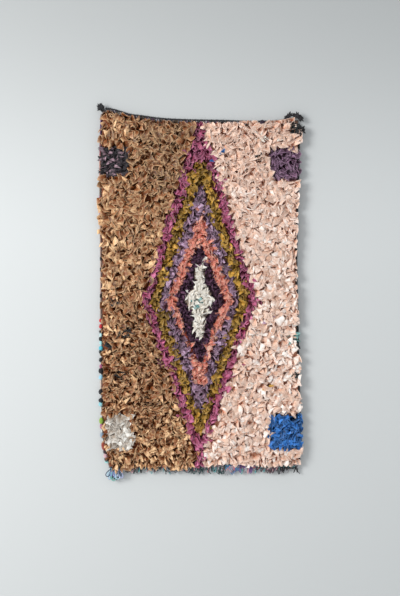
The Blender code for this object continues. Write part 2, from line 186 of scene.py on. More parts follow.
def colour_property(what, value):
    return FloatVectorProperty(
        name=what.capitalize(), description=f"Colour of the {what}", subtype="COLOR",
        size=3, min=0.0, max=1.0, default=value,
    )


def length_property(name, value, description):
    return FloatProperty(
        name=name, description=description, default=value, min=0.0, unit="LENGTH",
        subtype="DISTANCE", precision=4,
    )


class RagColours(bpy.types.PropertyGroup):
    """The middle colour of each rag and yarn."""

    tan: colour_property("tan rag", (0.178, 0.05, 0.012))
    blush: colour_property("pale pink rag", (0.68, 0.41, 0.3))
    magenta: colour_property("magenta rag", (0.23, 0.038, 0.079))
    olive: colour_property("olive rag", (0.226, 0.118, 0.0165))
    lilac: colour_property("lilac rag", (0.185, 0.092, 0.135))
    coral: colour_property("coral rag", (0.7, 0.17, 0.116))
    aubergine: colour_property("aubergine rag", (0.037, 0.0142, 0.03))
    ivory: colour_property("ivory rag", (0.73, 0.66, 0.565))
    charcoal: colour_property("charcoal rag and yarn", (0.019, 0.019, 0.022))
    violet: colour_property("violet rag", (0.102, 0.046, 0.084))
    chalk: colour_property("off-white rag", (0.352, 0.278, 0.218))
    blue: colour_property("blue rag", (0.0033, 0.06, 0.222))
    teal: colour_property("teal rag and yarn", (0.065, 0.22, 0.205))
    black: colour_property("black rag", (0.012, 0.013, 0.014))


class PileSizes(bpy.types.PropertyGroup):
    """How the pile is knotted."""

    rows: IntProperty(
        name="Rows of knots", description="Rows of knots down the rug", default=60, min=10, max=90,
    )
    knots: IntProperty(
        name="Knots in a row", description="Knots across the rug", default=62, min=10, max=90,
    )
    sag: length_property("Sag", 0.012, "How far below its knot a strip shows")
    thickness: length_property("Rag thickness", 0.0012, "Thickness of one torn strip")
    tallest: length_property("Tallest", 0.041, "How far the longest strips stand out")


class GroundSizes(bpy.types.PropertyGroup):
    """The woven ground."""

    thickness: length_property("Thickness", 0.0042, "Thickness of the woven ground")
    relief: length_property("Relief", 0.0012, "How far the knots stand out on the back")


class EdgeSizes(bpy.types.PropertyGroup):
    """Cord, wrapped sides, knots and fringe."""

    cord: length_property("Top cord", 0.0054, "Radius of the twined top cord")
    side: length_property("Wrapped side", 0.0045, "Radius of each wrapped side")
    yarn: length_property("Yarn", 0.0021, "Radius of the yarn in the fringe and the knots")
    thrums: IntProperty(
        name="Fringe ends", description="Loops and ends in the bottom fringe", default=440, min=10,
    )


class StageSettings(bpy.types.PropertyGroup):
    """The room, lights and camera."""

    distance: length_property("Camera distance", 4.0, "From the camera to the wall")
    seen: length_property("Height seen", 2.98, "How much of the wall the picture shows, upwards")
    key: FloatProperty(
        name="Window light", description="Power of the soft light", default=455.0, min=0.0,
        unit="POWER",
    )
    fill: FloatProperty(
        name="Room light", description="Strength of the light from all round", default=0.91, min=0.0,
    )
    wall: colour_property("wall", (0.5, 0.522, 0.53))
    floor: colour_property("floor", (0.58, 0.58, 0.57))


# Places on the ground


def smooth_curve(table, column, key):
    """A smooth value of a table's column at each key: between two rows, the cubic that meets both
    values with the slopes that the rows on either side give."""
    keys, values = table[:, 0], table[:, column]
    slopes = np.gradient(values, keys)
    at = np.clip(np.searchsorted(keys, key) - 1, 0, len(keys) - 2)
    span = keys[at + 1] - keys[at]
    t = np.clip((key - keys[at]) / span, 0, 1)
    return (
        (2 * t**3 - 3 * t**2 + 1) * values[at]
        + (t**3 - 2 * t**2 + t) * span * slopes[at]
        + (3 * t**2 - 2 * t**3) * values[at + 1]
        + (t**3 - t**2) * span * slopes[at + 1]
    )


def top_edge(across):
    """Height of the ground's top edge."""
    return smooth_curve(TOP_EDGE, 1, across)


def low_edge(across):
    """Height of the ground's bottom edge."""
    return -LENGTH - smooth_curve(BOTTOM_EDGE, 1, across)


def part_way(value, start, length):
    """How far a value has come from a start over a length, from 0 to 1."""
    return np.clip((value - start) / length, 0, 1)


def points_at(across, out, height):
    """Points from their coordinates, each an array or one number."""
    return np.stack(np.broadcast_arrays(across, out, height), -1)


def side_place(share_down, column):
    """(across, height) down the left side (column 1) or the right side (column 2)."""
    end = 0 if column == 1 else -1
    high, low = TOP_EDGE[end, 1], -LENGTH - BOTTOM_EDGE[end, 1]
    return smooth_curve(SIDE_EDGES, column, share_down), high + (low - high) * share_down


def ground_place(share_across, share_down):
    """(across, height) on the ground at each pair of shares: the blend from the top edge to the
    bottom edge and the blend from side to side added, less the blend of the four corners."""
    left, right = side_place(share_down, 1), side_place(share_down, 2)
    corners = [side_place(np.float64(s), c) for s in (0, 1) for c in (1, 2)]
    top_across = corners[0][0] + (corners[1][0] - corners[0][0]) * share_across
    low_across = corners[2][0] + (corners[3][0] - corners[2][0]) * share_across
    top = top_across, top_edge(top_across)
    low = low_across, low_edge(low_across)
    place = []
    for axis in (0, 1):
        down = (1 - share_down) * top[axis] + share_down * low[axis]
        along = (1 - share_across) * left[axis] + share_across * right[axis]
        upper = (1 - share_across) * corners[0][axis] + share_across * corners[1][axis]
        lower = (1 - share_across) * corners[2][axis] + share_across * corners[3][axis]
        place.append(down + along - (1 - share_down) * upper - share_down * lower)
    return place


def rag_at(across, drop):
    """The number in RAG_NAMES of the rag at each place. A lozenge holds a place whose distance
    across, over its half width, and distance down, over its half length, add up to less than 1."""
    rag = np.where(across < 0, RAG_NAMES.index("tan_upper"), RAG_NAMES.index("blush_upper"))
    rag = rag + (drop > FIELD_DROP)
    down = drop - MIDDLE_DROP
    for name, half_width, above, below, least, furthest in LOZENGES:
        reach = half_width * (1 - np.abs(down) / np.where(down < 0, above, below))
        stem = least * np.where(down < 0, part_way(down, -furthest, STEM_TAPER), 1)
        inside = (np.abs(across) < np.maximum(reach, stem)) & (np.abs(down) < furthest)
        if name == "ivory":
            stem = np.where(down < 0, IVORY_STEM[1], IVORY_STEM[2])
            inside |= (np.abs(across) < IVORY_STEM[0]) & (np.abs(down) < stem)
        rag = np.where(inside, RAG_NAMES.index(name), rag)
    for name, left, right, high, low in SQUARES:
        inside = (left < across) & (across < right) & (high < drop) & (drop < low)
        rag = np.where(inside, RAG_NAMES.index(name), rag)
    return rag


def tone_and_light_shift(across, drop):
    """How much paler the rags are at each place, as their tone or as painted light and shade: the
    sum of soft round patches, each of which fades as a bell curve."""
    total = 0.0
    for x, y, half_width, half_height, amount in TONE_AND_LIGHT_PATCHES:
        away = ((across - x) / half_width) ** 2 + ((drop - y) / half_height) ** 2
        total = total + amount * np.exp(-away)
    return total


# Meshes


def new_piece(name, points, quads, tris=None, floats=None, dyes=None, uv=None):
    """A smooth mesh object at the origin from whole arrays of points and faces."""
    tris = np.zeros((0, 3), int) if tris is None else tris
    loops = np.concatenate([quads.ravel(), tris.ravel()])
    starts = np.concatenate([np.arange(len(quads)) * 4, quads.size + np.arange(len(tris)) * 3])
    mesh = bpy.data.meshes.new(name)
    mesh.vertices.add(len(points))
    mesh.vertices.foreach_set("co", points.astype(np.float32).ravel())
    mesh.loops.add(len(loops))
    mesh.loops.foreach_set("vertex_index", loops.astype(np.int32))
    mesh.polygons.add(len(starts))
    mesh.polygons.foreach_set("loop_start", starts.astype(np.int32))
    mesh.polygons.foreach_set("use_smooth", np.ones(len(starts), bool))
    mesh.update(calc_edges=True)
    carried = {key: ("FLOAT", "value", values) for key, values in (floats or {}).items()}
    if dyes is not None:
        carried["dye"] = "FLOAT_COLOR", "color", np.insert(dyes, 3, 1.0, axis=1)
    for key, (kind, field, values) in carried.items():
        data = mesh.attributes.new(key, kind, "POINT").data
        data.foreach_set(field, values.astype(np.float32).ravel())
    if uv is not None:
        mesh.uv_layers.new(name="weave").data.foreach_set("uv", uv[loops].astype(np.float32).ravel())
    mesh.validate()
    piece = bpy.data.objects.new(name, mesh)
    bpy.context.scene.collection.objects.link(piece)
    return piece


def crease_strips(piece, pleated):
    """Marks the two long edges and the tip of every strip sharp, so that each strip looks thin, and
    the folds of the pleated ones."""
    ring = len(RING_ACROSS)
    mesh = piece.data
    ends = np.empty(2 * len(mesh.edges), np.int32)
    mesh.edges.foreach_get("vertices", ends)
    ends = ends.reshape(-1, 2)
    place, step = ends % ring, (ends // ring) % STRIP_STEPS
    strip = ends[:, 0] // (ring * STRIP_STEPS)
    along = (place[:, 0] == place[:, 1]) & ((place[:, 0] % (ring // 2) == 0) | pleated[strip])
    at_end = (step[:, 0] == step[:, 1]) & (step[:, 0] == STRIP_STEPS - 1)
    sharp = mesh.attributes.new("sharp_edge", "BOOLEAN", "EDGE")
    sharp.data.foreach_set("value", along | at_end)


def finish_piece(piece, material, slot, *nodes):
    """Gives a piece its material and its place on the rug, and hides the solids that it stands for."""
    piece.data.materials.append(material)
    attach(piece, "root")
    if nodes:
        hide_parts(*nodes)
    return piece


def unit(vectors):
    return vectors / np.maximum(np.linalg.norm(vectors, axis=-1, keepdims=True), 1e-9)


def copies(pattern, count, stride):
    """One pattern of faces, repeated for count shapes of stride points each."""
    return (pattern[None] + (np.arange(count) * stride)[:, None, None]).reshape(-1, pattern.shape[1])


def ring_faces(steps, ring):
    """Quads of a skin over steps rings of points."""
    k, j = np.meshgrid(np.arange(steps - 1), np.arange(ring), indexing="ij")
    n = (j + 1) % ring
    quads = np.stack([k * ring + j, k * ring + n, (k + 1) * ring + n, (k + 1) * ring + j], -1)
    return quads.reshape(-1, 4)


def cap_faces(steps, ring):
    """Triangles that fan over the first and the last ring."""
    j = np.arange(1, ring - 1)
    first = np.stack([0 * j, j + 1, j], -1)
    last = np.stack([0 * j, j, j + 1], -1) + (steps - 1) * ring
    return np.concatenate([first, last])


def sheet_faces(numbers):
    """Quads between neighbours in a grid of point numbers."""
    corners = [numbers[:-1, :-1], numbers[:-1, 1:], numbers[1:, 1:], numbers[1:, :-1]]
    return np.stack(corners, -1).reshape(-1, 4)


def strip_path(roots, look, length, bow, pick):
    """The middle line of every strip, and the ways along it, across it and square to its face.

    The tangent turns from near straight out towards a way in the rug's plane, by an angle that
    grows with the 1.4th power of the share along the strip. The middle line is its running sum.
    The section turns with the twist, and some strips stand on edge.
    """
    lean = pick(0.0, 0.3) + bow * ALONG**1.4
    way = -math.pi / 2 + roots[:, 2, None]
    plane = points_at(np.cos(way), 0, np.sin(way))
    beside = points_at(-np.sin(way), 0, np.cos(way))
    tangent = np.cos(lean)[..., None] * OUT + np.sin(lean)[..., None] * plane
    facing = np.cos(lean)[..., None] * plane - np.sin(lean)[..., None] * OUT
    sway = (pick(-0.6, 0.6) * ALONG**2)[..., None] * beside
    steps = unit(tangent + sway) * (length / (STRIP_STEPS - 1))[..., None]
    middle = np.cumsum(steps, axis=1) - steps[:, :1]
    middle += points_at(roots[:, :1], -ROOT_DEPTH, roots[:, 1:2])
    on_edge = np.where(pick(0, 1) < look.on_edge, np.sign(pick(-1, 1)) * pick(0.9, 1.4), 0.0)
    turn = (on_edge + pick(-0.5, 0.5) + pick(-1, 1) * look.twist * ALONG)[..., None]
    side = np.cos(turn) * beside + np.sin(turn) * facing
    face = np.cos(turn) * facing - np.sin(turn) * beside
    return middle, tangent, side, face


def strip_section(look, width, pick):
    """Half the width of each section, and how far across, how far up and how tilted its points lie.

    A section is an arc of the roll angle, or has its edges folded up or down where it is pleated.
    It opens out from the root, narrows to the tip, and waves with the ruffle, most at its edges.
    """
    u = RING_ACROSS
    open_out = part_way(ALONG, 0, 0.45) ** 0.8
    tip = 1 - (1 - pick(*look.blunt)) * part_way(ALONG, 0.6, 0.4) ** 1.6
    half = (0.5 * width * (0.3 + 0.7 * open_out) * tip)[..., None]
    roll = (look.roll * pick(0.15, 1.0) * np.sign(pick(-1, 2)) * (1.7 - open_out))[..., None]
    roll = np.where(np.abs(roll) < 0.05, 0.05, roll)
    pleat = (pick(0.3, 1.5) * np.sign(pick(-1, 1)))[..., None]
    pleat = np.where(u < 0, pleat, pleat * np.sign(pick(-1, 1.5))[..., None])
    pleated = (pick(0, 1) < look.fold)[..., None]
    flap = np.maximum(np.abs(u) - FOLD_AT, 0)
    folded = np.sign(u) * (FOLD_AT + flap * np.cos(pleat))
    across = np.where(pleated, folded, np.sin(roll * u) / roll)
    lift = np.where(pleated, flap * np.sin(pleat), (1 - np.cos(roll * u)) / roll)
    wave = np.sin(2 * math.pi * (1.3 * ALONG + pick(0, 1)))[..., None] * u**2
    wave = wave + np.sin(2 * math.pi * (1.1 * ALONG + pick(0, 1)))[..., None] * u * np.abs(u)
    lift = lift + look.ruffle * pick(0.3, 1.3)[..., None] * wave * open_out[..., None]
    return half, half * across, half * lift, np.where(pleated, 0, roll * u), pleated.ravel()


def rag_strips(roots, look, strength, chance):
    """Torn strips: each point is the middle line's, plus the section's place along the strip's side
    and face. The thickness runs out at the edges, and the tip is cut at a slant.

    roots holds (across, height, swing, how wide), where swing leans the strip left or right of
    straight down.
    """
    count = len(roots)

    def pick(low, high):
        return chance.uniform(low, high, count)[:, None]

    length, width = pick(*look.length) * strength, pick(*look.width) * roots[:, 3, None]
    bow = pick(*look.lean)
    length = np.minimum(length, 0.036 + 0.018 * bow)  # the straighter a strip, the shorter
    middle, tangent, side, face = strip_path(roots, look, length, bow, pick)
    half, across, lift, tilt, pleated = strip_section(look, width, pick)
    thick = 0.5 * bpy.context.scene.rug_pile.thickness * RING_SIDE
    cut = (pick(-0.3, 0.3) * ALONG**3)[..., None] * RING_ACROSS * length[..., None]
    points = (
        middle[:, :, None, :]
        + (across - thick * np.sin(tilt))[..., None] * side[:, :, None, :]
        + (lift + thick * np.cos(tilt))[..., None] * face[:, :, None, :]
        + cut[..., None] * tangent[:, :, None, :]
    )
    # random tone for each strip, plus patches of tone, of painted light and of painted shade
    tint = chance.uniform(0, 1, count) + tone_and_light_shift(roots[:, 0], -roots[:, 1])
    keep_in(points)
    values = {"tint": tint[:, None, None], "fray": np.abs(RING_ACROSS), "reach": ALONG[..., None]}
    floats = {key: np.broadcast_to(value, points.shape[:3]) for key, value in values.items()}
    weave = np.broadcast_arrays(half * RING_ACROSS, (ALONG * length)[..., None])
    uv = np.stack(weave, -1) * WEAVE_SCALE
    return points.reshape(-1, 3), floats, uv.reshape(-1, 2), pleated


def passing(value, limit, give):
    """Values beyond a limit squeezed, so that they pass it by less than the give."""
    over = np.maximum(value - limit, 0)
    return np.minimum(value, limit) + give * np.tanh(over / give)


def keep_in(points):
    """Keeps strips in front of the ground, under the tallest, and near the rug's edges. At the sides
    they stop at a line that waves by the sine of a sine, so that tufts and gaps change about."""
    tallest = bpy.context.scene.rug_pile.tallest
    x, stand, z = points[..., 0], -points[..., 1], points[..., 2]
    points[..., 1] = -np.maximum(passing(stand, 0.75 * tallest, 0.25 * tallest), LEAST_STAND)
    down = np.clip(-z / LENGTH, 0, 1)
    left, right = (side_place(down, column)[0] for column in (1, 2))
    bare = part_way(-z, BARE_LEFT, 0.1)
    short = bare * (0.011 + 0.009 * np.sin(83 * z + 1.7 * np.sin(37 * z)))
    x[:] = -passing(-x, 0.002 - left - short, 0.016 - 0.01 * bare)
    thin = np.exp(-(((-z - THIN_RIGHT[0]) / THIN_RIGHT[1]) ** 4))
    gaps = thin * (0.5 + 0.5 * np.sin(97 * z + 1.9 * np.sin(41 * z)))
    x[:] = passing(x, right + 0.002 - 0.002 * thin - 0.009 * gaps, 0.015 - 0.009 * thin)
    top, low = top_edge(x), low_edge(x)
    rise = np.interp(x, *np.array(TOP_TUFTS).T)
    z[:] = passing(z, top + rise - TUFT_GIVE[0], TUFT_GIVE[0])
    fall = np.interp(x, *np.array(LOW_TUFTS).T)
    z[:] = -passing(-z, fall - TUFT_GIVE[1] - low, TUFT_GIVE[1])


def strip_faces(count):
    """Quads and triangles of count strips: a skin round the rings and a closed root and tip."""
    ring = len(RING_ACROSS)
    quads = ring_faces(STRIP_STEPS, ring)
    ends = np.array([(5, 4, 2, 1)])
    quads = np.concatenate([quads, ends, ends[:, ::-1] + (STRIP_STEPS - 1) * ring])
    corners = np.array([(5, 1, 0), (4, 3, 2)])
    tris = np.concatenate([corners, corners[:, ::-1] + (STRIP_STEPS - 1) * ring])
    stride = STRIP_STEPS * ring
    return copies(quads, count, stride), copies(tris, count, stride)


def outward(points, quads, tris):
    """Turns all faces round if they enclose a negative volume."""
    a, b, c, d = (points[quads[:, k]] for k in range(4))
    volume = np.einsum("ij,ij->", a, np.cross(b, c)) + np.einsum("ij,ij->", a, np.cross(c, d))
    if len(tris):
        a, b, c = (points[tris[:, k]] for k in range(3))
        volume += np.einsum("ij,ij->", a, np.cross(b, c))
    return (quads, tris) if volume > 0 else (quads[:, ::-1], tris[:, ::-1])


def tubes(paths, radii, sides, reference):
    """Round yarn carried along many paths at once. Each ring lies square to its path: the centre
    plus the radius times (cosine of the angle along one normal, sine along the other).
    paths is (count, steps, 3), radii (count, steps), reference a way that no path runs along."""
    count, steps, _ = paths.shape
    tangent = unit(np.gradient(paths, axis=1))
    first = unit(np.cross(tangent, np.broadcast_to(reference, paths.shape)))
    second = np.cross(first, tangent)
    angle = np.arange(sides) * 2 * math.pi / sides
    ring = (
        np.cos(angle)[:, None] * first[:, :, None, :]
        + np.sin(angle)[:, None] * second[:, :, None, :]
    )
    points = (paths[:, :, None, :] + radii[:, :, None, None] * ring).reshape(-1, 3)
    quads = copies(ring_faces(steps, sides), count, steps * sides)
    tris = copies(cap_faces(steps, sides), count, steps * sides)
    return points, *outward(points, quads, tris)


def joined(parts):
    """Several (points, quads, tris) sets as one."""
    sizes = np.cumsum([0] + [len(p) for p, _, _ in parts[:-1]])
    return (
        np.concatenate([p for p, _, _ in parts]),
        np.concatenate([q + s for (_, q, _), s in zip(parts, sizes)]),
        np.concatenate([t + s for (_, _, t), s in zip(parts, sizes)]),
    )


# Materials


class Paint:
    """A material in the making, with its node tree and its shader."""

    def __init__(self, name):
        self.made = bpy.data.materials.new(name)
        self.made.use_nodes = True
        self.tree = self.made.node_tree
        self.shader = self.tree.nodes["Principled BSDF"]

    def join(self, value, socket):
        """Feeds an input from another node, or gives it a value or a colour."""
        if isinstance(value, bpy.types.NodeSocket):
            self.tree.links.new(value, socket)
        else:
            socket.default_value = (*value, 1.0) if socket.type == "RGBA" else value

    def add(self, kind, inputs=(), output=0, **settings):
        """One output of a new node. Inputs and output go by name or number."""
        node = self.tree.nodes.new(f"ShaderNode{kind}")
        for key, value in settings.items():
            setattr(node, key, value)
        for key, value in dict(inputs).items():
            self.join(value, node.inputs[key])
        return node.outputs[output]

    def read(self, name, output="Fac"):
        """What each point carries under a name."""
        return self.add("Attribute", output=output, attribute_name=name)

    def place(self):
        return self.add("TexCoord", output="Object")

    def noise(self, scale, detail):
        return self.add("TexNoise", {"Vector": self.place(), "Scale": scale, "Detail": detail}, "Fac")

    def bands(self, vector, scale, distortion, way):
        inputs = {"Vector": vector, "Scale": scale, "Distortion": distortion}
        return self.add("TexWave", inputs, "Fac", bands_direction=way)

    def math(self, operation, first, second):
        return self.add("Math", {0: first, 1: second}, operation=operation)

    def span(self, value, low, high, to_low, to_high, **settings):
        """A value between low and high, carried over to between to_low and to_high."""
        return self.add("MapRange", {0: value, 1: low, 2: high, 3: to_low, 4: to_high}, **settings)

    def ramp(self, factor, colours):
        """A ramp through evenly spaced colours."""
        colour = self.add("ValToRGB", {"Fac": factor})
        elements = colour.node.color_ramp.elements
        while len(elements) < len(colours):
            elements.new(0.5)
        for k, (element, shown) in enumerate(zip(elements, colours)):
            element.position = k / (len(colours) - 1)
            element.color = (*shown, 1.0)
        return colour

    def mix(self, factor, first, second, blend="MIX"):
        inputs = {0: factor, 6: first, 7: second}
        return self.add("Mix", inputs, 2, data_type="RGBA", blend_type=blend)

    def bump(self, height, strength, distance, **more):
        return self.add("Bump", {"Height": height, "Strength": strength, "Distance": distance, **more})

    def finish(self, inputs):
        """The material, with these inputs of its shader."""
        for key, value in inputs.items():
            self.join(value, self.shader.inputs[key])
        return self.made


def shade(colour, factor, lift=0.0, pale=(1.0, 1.0, 1.0)):
    """A colour made darker or lighter, and lifted towards a pale one."""
    return tuple(min(1.0, c * factor + (p - c) * lift) for c, p in zip(colour, pale))


def rag_material(name, shades, edge, root, look):
    """Torn rag: its tint changes from strip to strip and in blotches, its edges are pale with fray and
    painted highlight, its tip is paler with wear, its root holds a painted warm shade, its cloth is
    crinkled and finely woven."""
    paint = Paint(name)
    blotch = paint.span(paint.noise(70.0, 3.0), 0.3, 0.7, -0.16, 0.16)
    colour = paint.ramp(paint.math("ADD", paint.read("tint"), blotch), shades)
    reach = paint.read("reach")
    # painted highlight: the rims are paler partly as frayed cloth and partly as light caught on the edges;
    # the tip is paler with wear
    rim = paint.math("POWER", paint.read("fray"), look.rim)
    tip = paint.math("POWER", reach, 9.0)
    fray_and_highlight = paint.math("MULTIPLY", paint.math("MAXIMUM", rim, tip), 0.8)
    colour = paint.mix(fray_and_highlight, colour, edge)
    # painted shade: near the root the colour goes to the deeper, warmer root colour, for the shade and warm
    # bounce light in the hollows
    colour = paint.mix(paint.span(reach, 0.0, 0.6, 0.85, 0.0), colour, root)
    weave = paint.add("UVMap", uv_map="weave")
    threads = paint.bump(paint.bands(weave, 3.0, 1.5, "DIAGONAL"), 0.15, 0.0008)
    return paint.finish({
        "Base Color": colour,
        "Normal": paint.bump(paint.noise(190.0, 3.0), 0.35, 0.004, Normal=threads),
        "Roughness": look.roughness, "Specular IOR Level": 0.22,
        "Subsurface Weight": look.glow, "Subsurface Radius": (1.0, 0.9, 0.85),
        "Subsurface Scale": 0.003 + 0.01 * look.glow**2,
    })


def yarn_material(name):
    """Spun yarn: the piece's own colour attribute, mottled, with a fine twisted nap."""
    paint = Paint(name)
    mottle = paint.span(paint.noise(420.0, 4.0), 0.35, 0.75, 0.0, 0.15)
    colour = paint.mix(mottle, paint.read("dye", "Color"), (0.75, 0.72, 0.7), "SOFT_LIGHT")
    return paint.finish({
        "Base Color": colour, "Normal": paint.bump(paint.noise(900.0, 5.0), 0.7, 0.0012),
        "Roughness": 0.9, "Sheen Weight": 0.05, "Sheen Roughness": 0.4,
    })


def ground_material():
    """Woven ground: the knots' own colours between dark gaps, with a plain weave's bump."""
    paint = Paint("woven_ground")
    place = paint.place()
    warps, wefts = paint.bands(place, 60.0, 1.2, "X"), paint.bands(place, 45.0, 1.5, "Z")
    woven = paint.math("MULTIPLY", warps, wefts)
    gaps = paint.span(woven, 0.0, 0.5, 0.15, 0.0)
    return paint.finish({
        "Base Color": paint.mix(gaps, paint.read("dye", "Color"), (0.03, 0.025, 0.025)),
        "Normal": paint.bump(woven, 0.8, 0.002), "Roughness": 0.92, "Sheen Weight": 0.3,
    })


def wall_material(colour):
    """Wall paint with a painted shade that darkens it by up to a third towards the ceiling, where less
    light falls. It is clear from behind, so that the wall shows from the room only."""
    paint = Paint("wall_paint_with_painted_shade")
    height = paint.add("SeparateXYZ", {"Vector": paint.place()}, "Z")
    # painted shade: the wall darkens towards the top, for the light falling off there
    painted_shade_above = paint.span(height, -0.7, 0.9, 0.0, 0.34, interpolation_type="SMOOTHSTEP")
    behind = paint.add("NewGeometry", output="Backfacing")
    clear = paint.add("BsdfTransparent")
    chosen = paint.add("MixShader", {0: behind, 1: paint.shader.outputs["BSDF"], 2: clear})
    paint.join(chosen, paint.tree.nodes["Material Output"].inputs["Surface"])
    dark = paint.mix(painted_shade_above, colour, (0.0, 0.0, 0.0))
    return paint.finish({"Base Color": dark, "Roughness": 0.9, "Specular IOR Level": 0.2})


# Rug colours


def dye(name):
    """The colour set for a rag, by the rag's name."""
    return np.array(getattr(bpy.context.scene.rug_colours, name.split("_")[0]))


class RagDye(NamedTuple):
    """How a rag's colour varies and is shaded: each tint, and its edge, as (how strong, how far lifted
    to its palest) of its own colour. The edge is partly fray and partly a painted highlight."""

    tints: tuple
    edge: tuple
    pale: tuple  # the palest that its tints, its frayed and highlighted edge and its tip get
    root: float | tuple  # painted shade: how strong its colour is at the root, for all channels or for each
    roughness: float
    glow: float  # how much light goes through it
    rim: float = 3.5  # how narrow its pale edge of fray and painted highlight is


# Each edge is a pale rim that is partly fray and partly a painted highlight; each root is a painted warm
# shade
RAG_DYES = {name: RagDye(*row) for name, *row in (
    # tan's palest tint stands partly for painted glints on the cloth
    ("tan", ((0.35, 0), (0.6, 0), (0.85, 0), (1.05, 0.01), (1.25, 0.08), (1.5, 0.68)), (1.15, 0.55),
     (0.93, 0.66, 0.38), (1.15, 0.85, 0.7), 0.38, 0.3, 8.0),
    ("blush", ((0.72, 0), (0.9, 0), (1.02, 0.05), (1.05, 0.12), (1.05, 0.32), (1.02, 1.0)), (1.05, 0.45),
     (1.0, 0.92, 0.86), (1.4, 1.02, 0.85), 0.55, 0.45, 5.0),
    ("magenta", ((0.22, 0), (0.6, 0), (1.0, 0), (1.4, 0.03), (2.0, 0.2)), (1.6, 0.18), (0.95, 0.5, 0.85),
     0.5, 0.45, 0.4, 5.0),
    ("olive", ((0.22, 0), (0.5, 0), (0.95, 0), (1.6, 0.01), (2.5, 0.06)), (1.7, 0.1), (0.95, 0.8, 0.3),
     0.5, 0.45, 0.4, 5.0),
    ("lilac", ((0.12, 0), (0.28, 0), (0.62, 0), (1.2, 0.05), (1.8, 0.32)), (1.5, 0.18), (0.76, 0.7, 1.0),
     0.45, 0.5, 0.4, 5.0),
    ("coral", ((0.66, 0), (1.0, 0), (1.1, 0.06), (1.1, 0.45)), (1.1, 0.2), (1.0, 0.7, 0.55),
     (1.2, 0.95, 0.85), 0.6, 0.85),
    ("aubergine", ((0.4, 0), (0.7, 0), (1.0, 0), (1.9, 0.01), (4.5, 0.05)), (2.2, 0.02), (0.6, 0.4, 0.6),
     0.5, 0.6, 0.2),
    ("ivory", ((0.9, 0), (1.0, 0), (1.0, 0.6)), (1.0, 0.6), (1.0, 0.96, 0.9), 1.0, 0.6, 0.6),
    ("charcoal", ((0.35, 0), (0.5, 0), (0.7, 0), (1.0, 0.03), (1.0, 0.35), (1.0, 0.8)), (1.6, 0.04),
     (0.52, 0.33, 0.4), 0.5, 0.6, 0.1),
    ("violet", ((0.2, 0), (0.5, 0), (1.1, 0), (3.0, 0.14)), (2.0, 0.14), (0.85, 0.65, 0.9), 0.4, 0.45, 0.3),
    # chalk's palest tint stands partly for painted glints on the cloth
    ("chalk", ((0.4, 0), (0.75, 0), (1.0, 0), (1.0, 0.25), (1.0, 1.0)), (1.0, 0.6), (0.97, 0.93, 0.86),
     0.8, 0.4, 0.5),
    ("blue", ((0.12, 0), (0.4, 0), (1.0, 0.0), (2.6, 0.06)), (1.9, 0.08), (0.5, 0.8, 1.0), 0.2, 0.4, 0.2),
    ("teal", ((0.5, 0), (0.9, 0), (1.3, 0.2)), (1.3, 0.2), (0.8, 0.95, 1.0), 0.6, 0.7, 0.3),
    ("black", ((0.6, 0), (1.0, 0), (1.8, 0)), (2.5, 0.02), (0.6, 0.6, 0.6), 0.7, 0.8, 0.0),
)}


# Operators


def ground_dyes(rag, knot, heading, front):
    """Colours of the ground: knots between paler wefts at the back, the knots' colours warmed and
    brightened in front as painted bounce light in the hollows, and a dark heading above the first knots."""
    colour = np.array([dye(name) for name in RAG_NAMES])[rag]
    colour = colour * np.where(heading, 0.3, 1.0)[..., None]
    weft = 0.45 * np.array([0.2, 0.165, 0.14])
    back = np.where(knot[..., None] > 0, 0.95 * colour, weft + 0.3 * colour)
    # painted light: the front, seen only in the hollows under the strips, is brighter and warmer for the
    # light bounced there
    return np.concatenate([back.reshape(-1, 3), np.minimum(1, colour[front] * (1.3, 1.12, 1.0))])


class RUG_OT_ground(bpy.types.Operator):
    """Build the woven ground that carries the knots"""

    bl_idname = "rug.ground"
    bl_label = "Woven ground"

    def execute(self, context):
        pile, sizes = context.scene.rug_pile, context.scene.rug_ground
        columns, rows = 2 * pile.knots + 1, 3 * pile.rows + 1
        u, v = np.meshgrid(np.linspace(0, 1, columns), np.linspace(0, 1, rows))
        across, height = ground_place(u, v)
        column, row = np.meshgrid(np.arange(columns), np.arange(rows))
        knot = ((column % 2 == 1) & (row % 3 == 1)).astype(float)
        inner = (column > 0) & (column < columns - 1) & (row > 0) & (row < rows - 1)
        depth = np.where(inner, sizes.relief * (1 - knot), 0.5 * sizes.thickness)
        back = points_at(across, -depth, height)
        front = points_at(across, -sizes.thickness + 0.3 * sizes.relief * knot, height)
        points = np.concatenate([back.reshape(-1, 3), front[inner]])
        numbers = np.arange(u.size).reshape(u.shape)
        front_numbers = numbers.copy()
        front_numbers[inner] = u.size + np.arange(inner.sum())
        quads = np.concatenate([sheet_faces(numbers), sheet_faces(front_numbers)[:, ::-1]])
        quads, _ = outward(points, quads, np.zeros((0, 3), int))
        dyes = ground_dyes(rag_at(across, -height), knot, v < 0.015, inner)
        piece = new_piece("woven_ground", points, quads, dyes=dyes)
        finish_piece(piece, ground_material(), "rags", "rug_body")
        return {"FINISHED"}


def knot_places(chance):
    """(across, height) of every knot: staggered rows with a little hand-made unevenness."""
    pile = bpy.context.scene.rug_pile
    row, column = np.meshgrid(np.arange(pile.rows), np.arange(pile.knots), indexing="ij")
    share_across = column + 0.25 + 0.5 * (row % 2) + chance.uniform(-0.3, 0.3, row.shape)
    share_across = 0.014 + 0.974 * share_across / pile.knots
    start = (HEADING[0] + (HEADING[1] - HEADING[0]) * share_across) / LENGTH
    end = 0.987 - 0.008 * (share_across > 0.5)
    uneven = row + chance.uniform(-0.3, 0.3, row.shape)
    share_down = start + (end - start) * uneven / (pile.rows - 1)
    across, height = ground_place(share_across, np.clip(share_down, 0.002, 0.996))
    return np.stack([across.ravel(), height.ravel()], -1), share_across.ravel(), share_down.ravel()


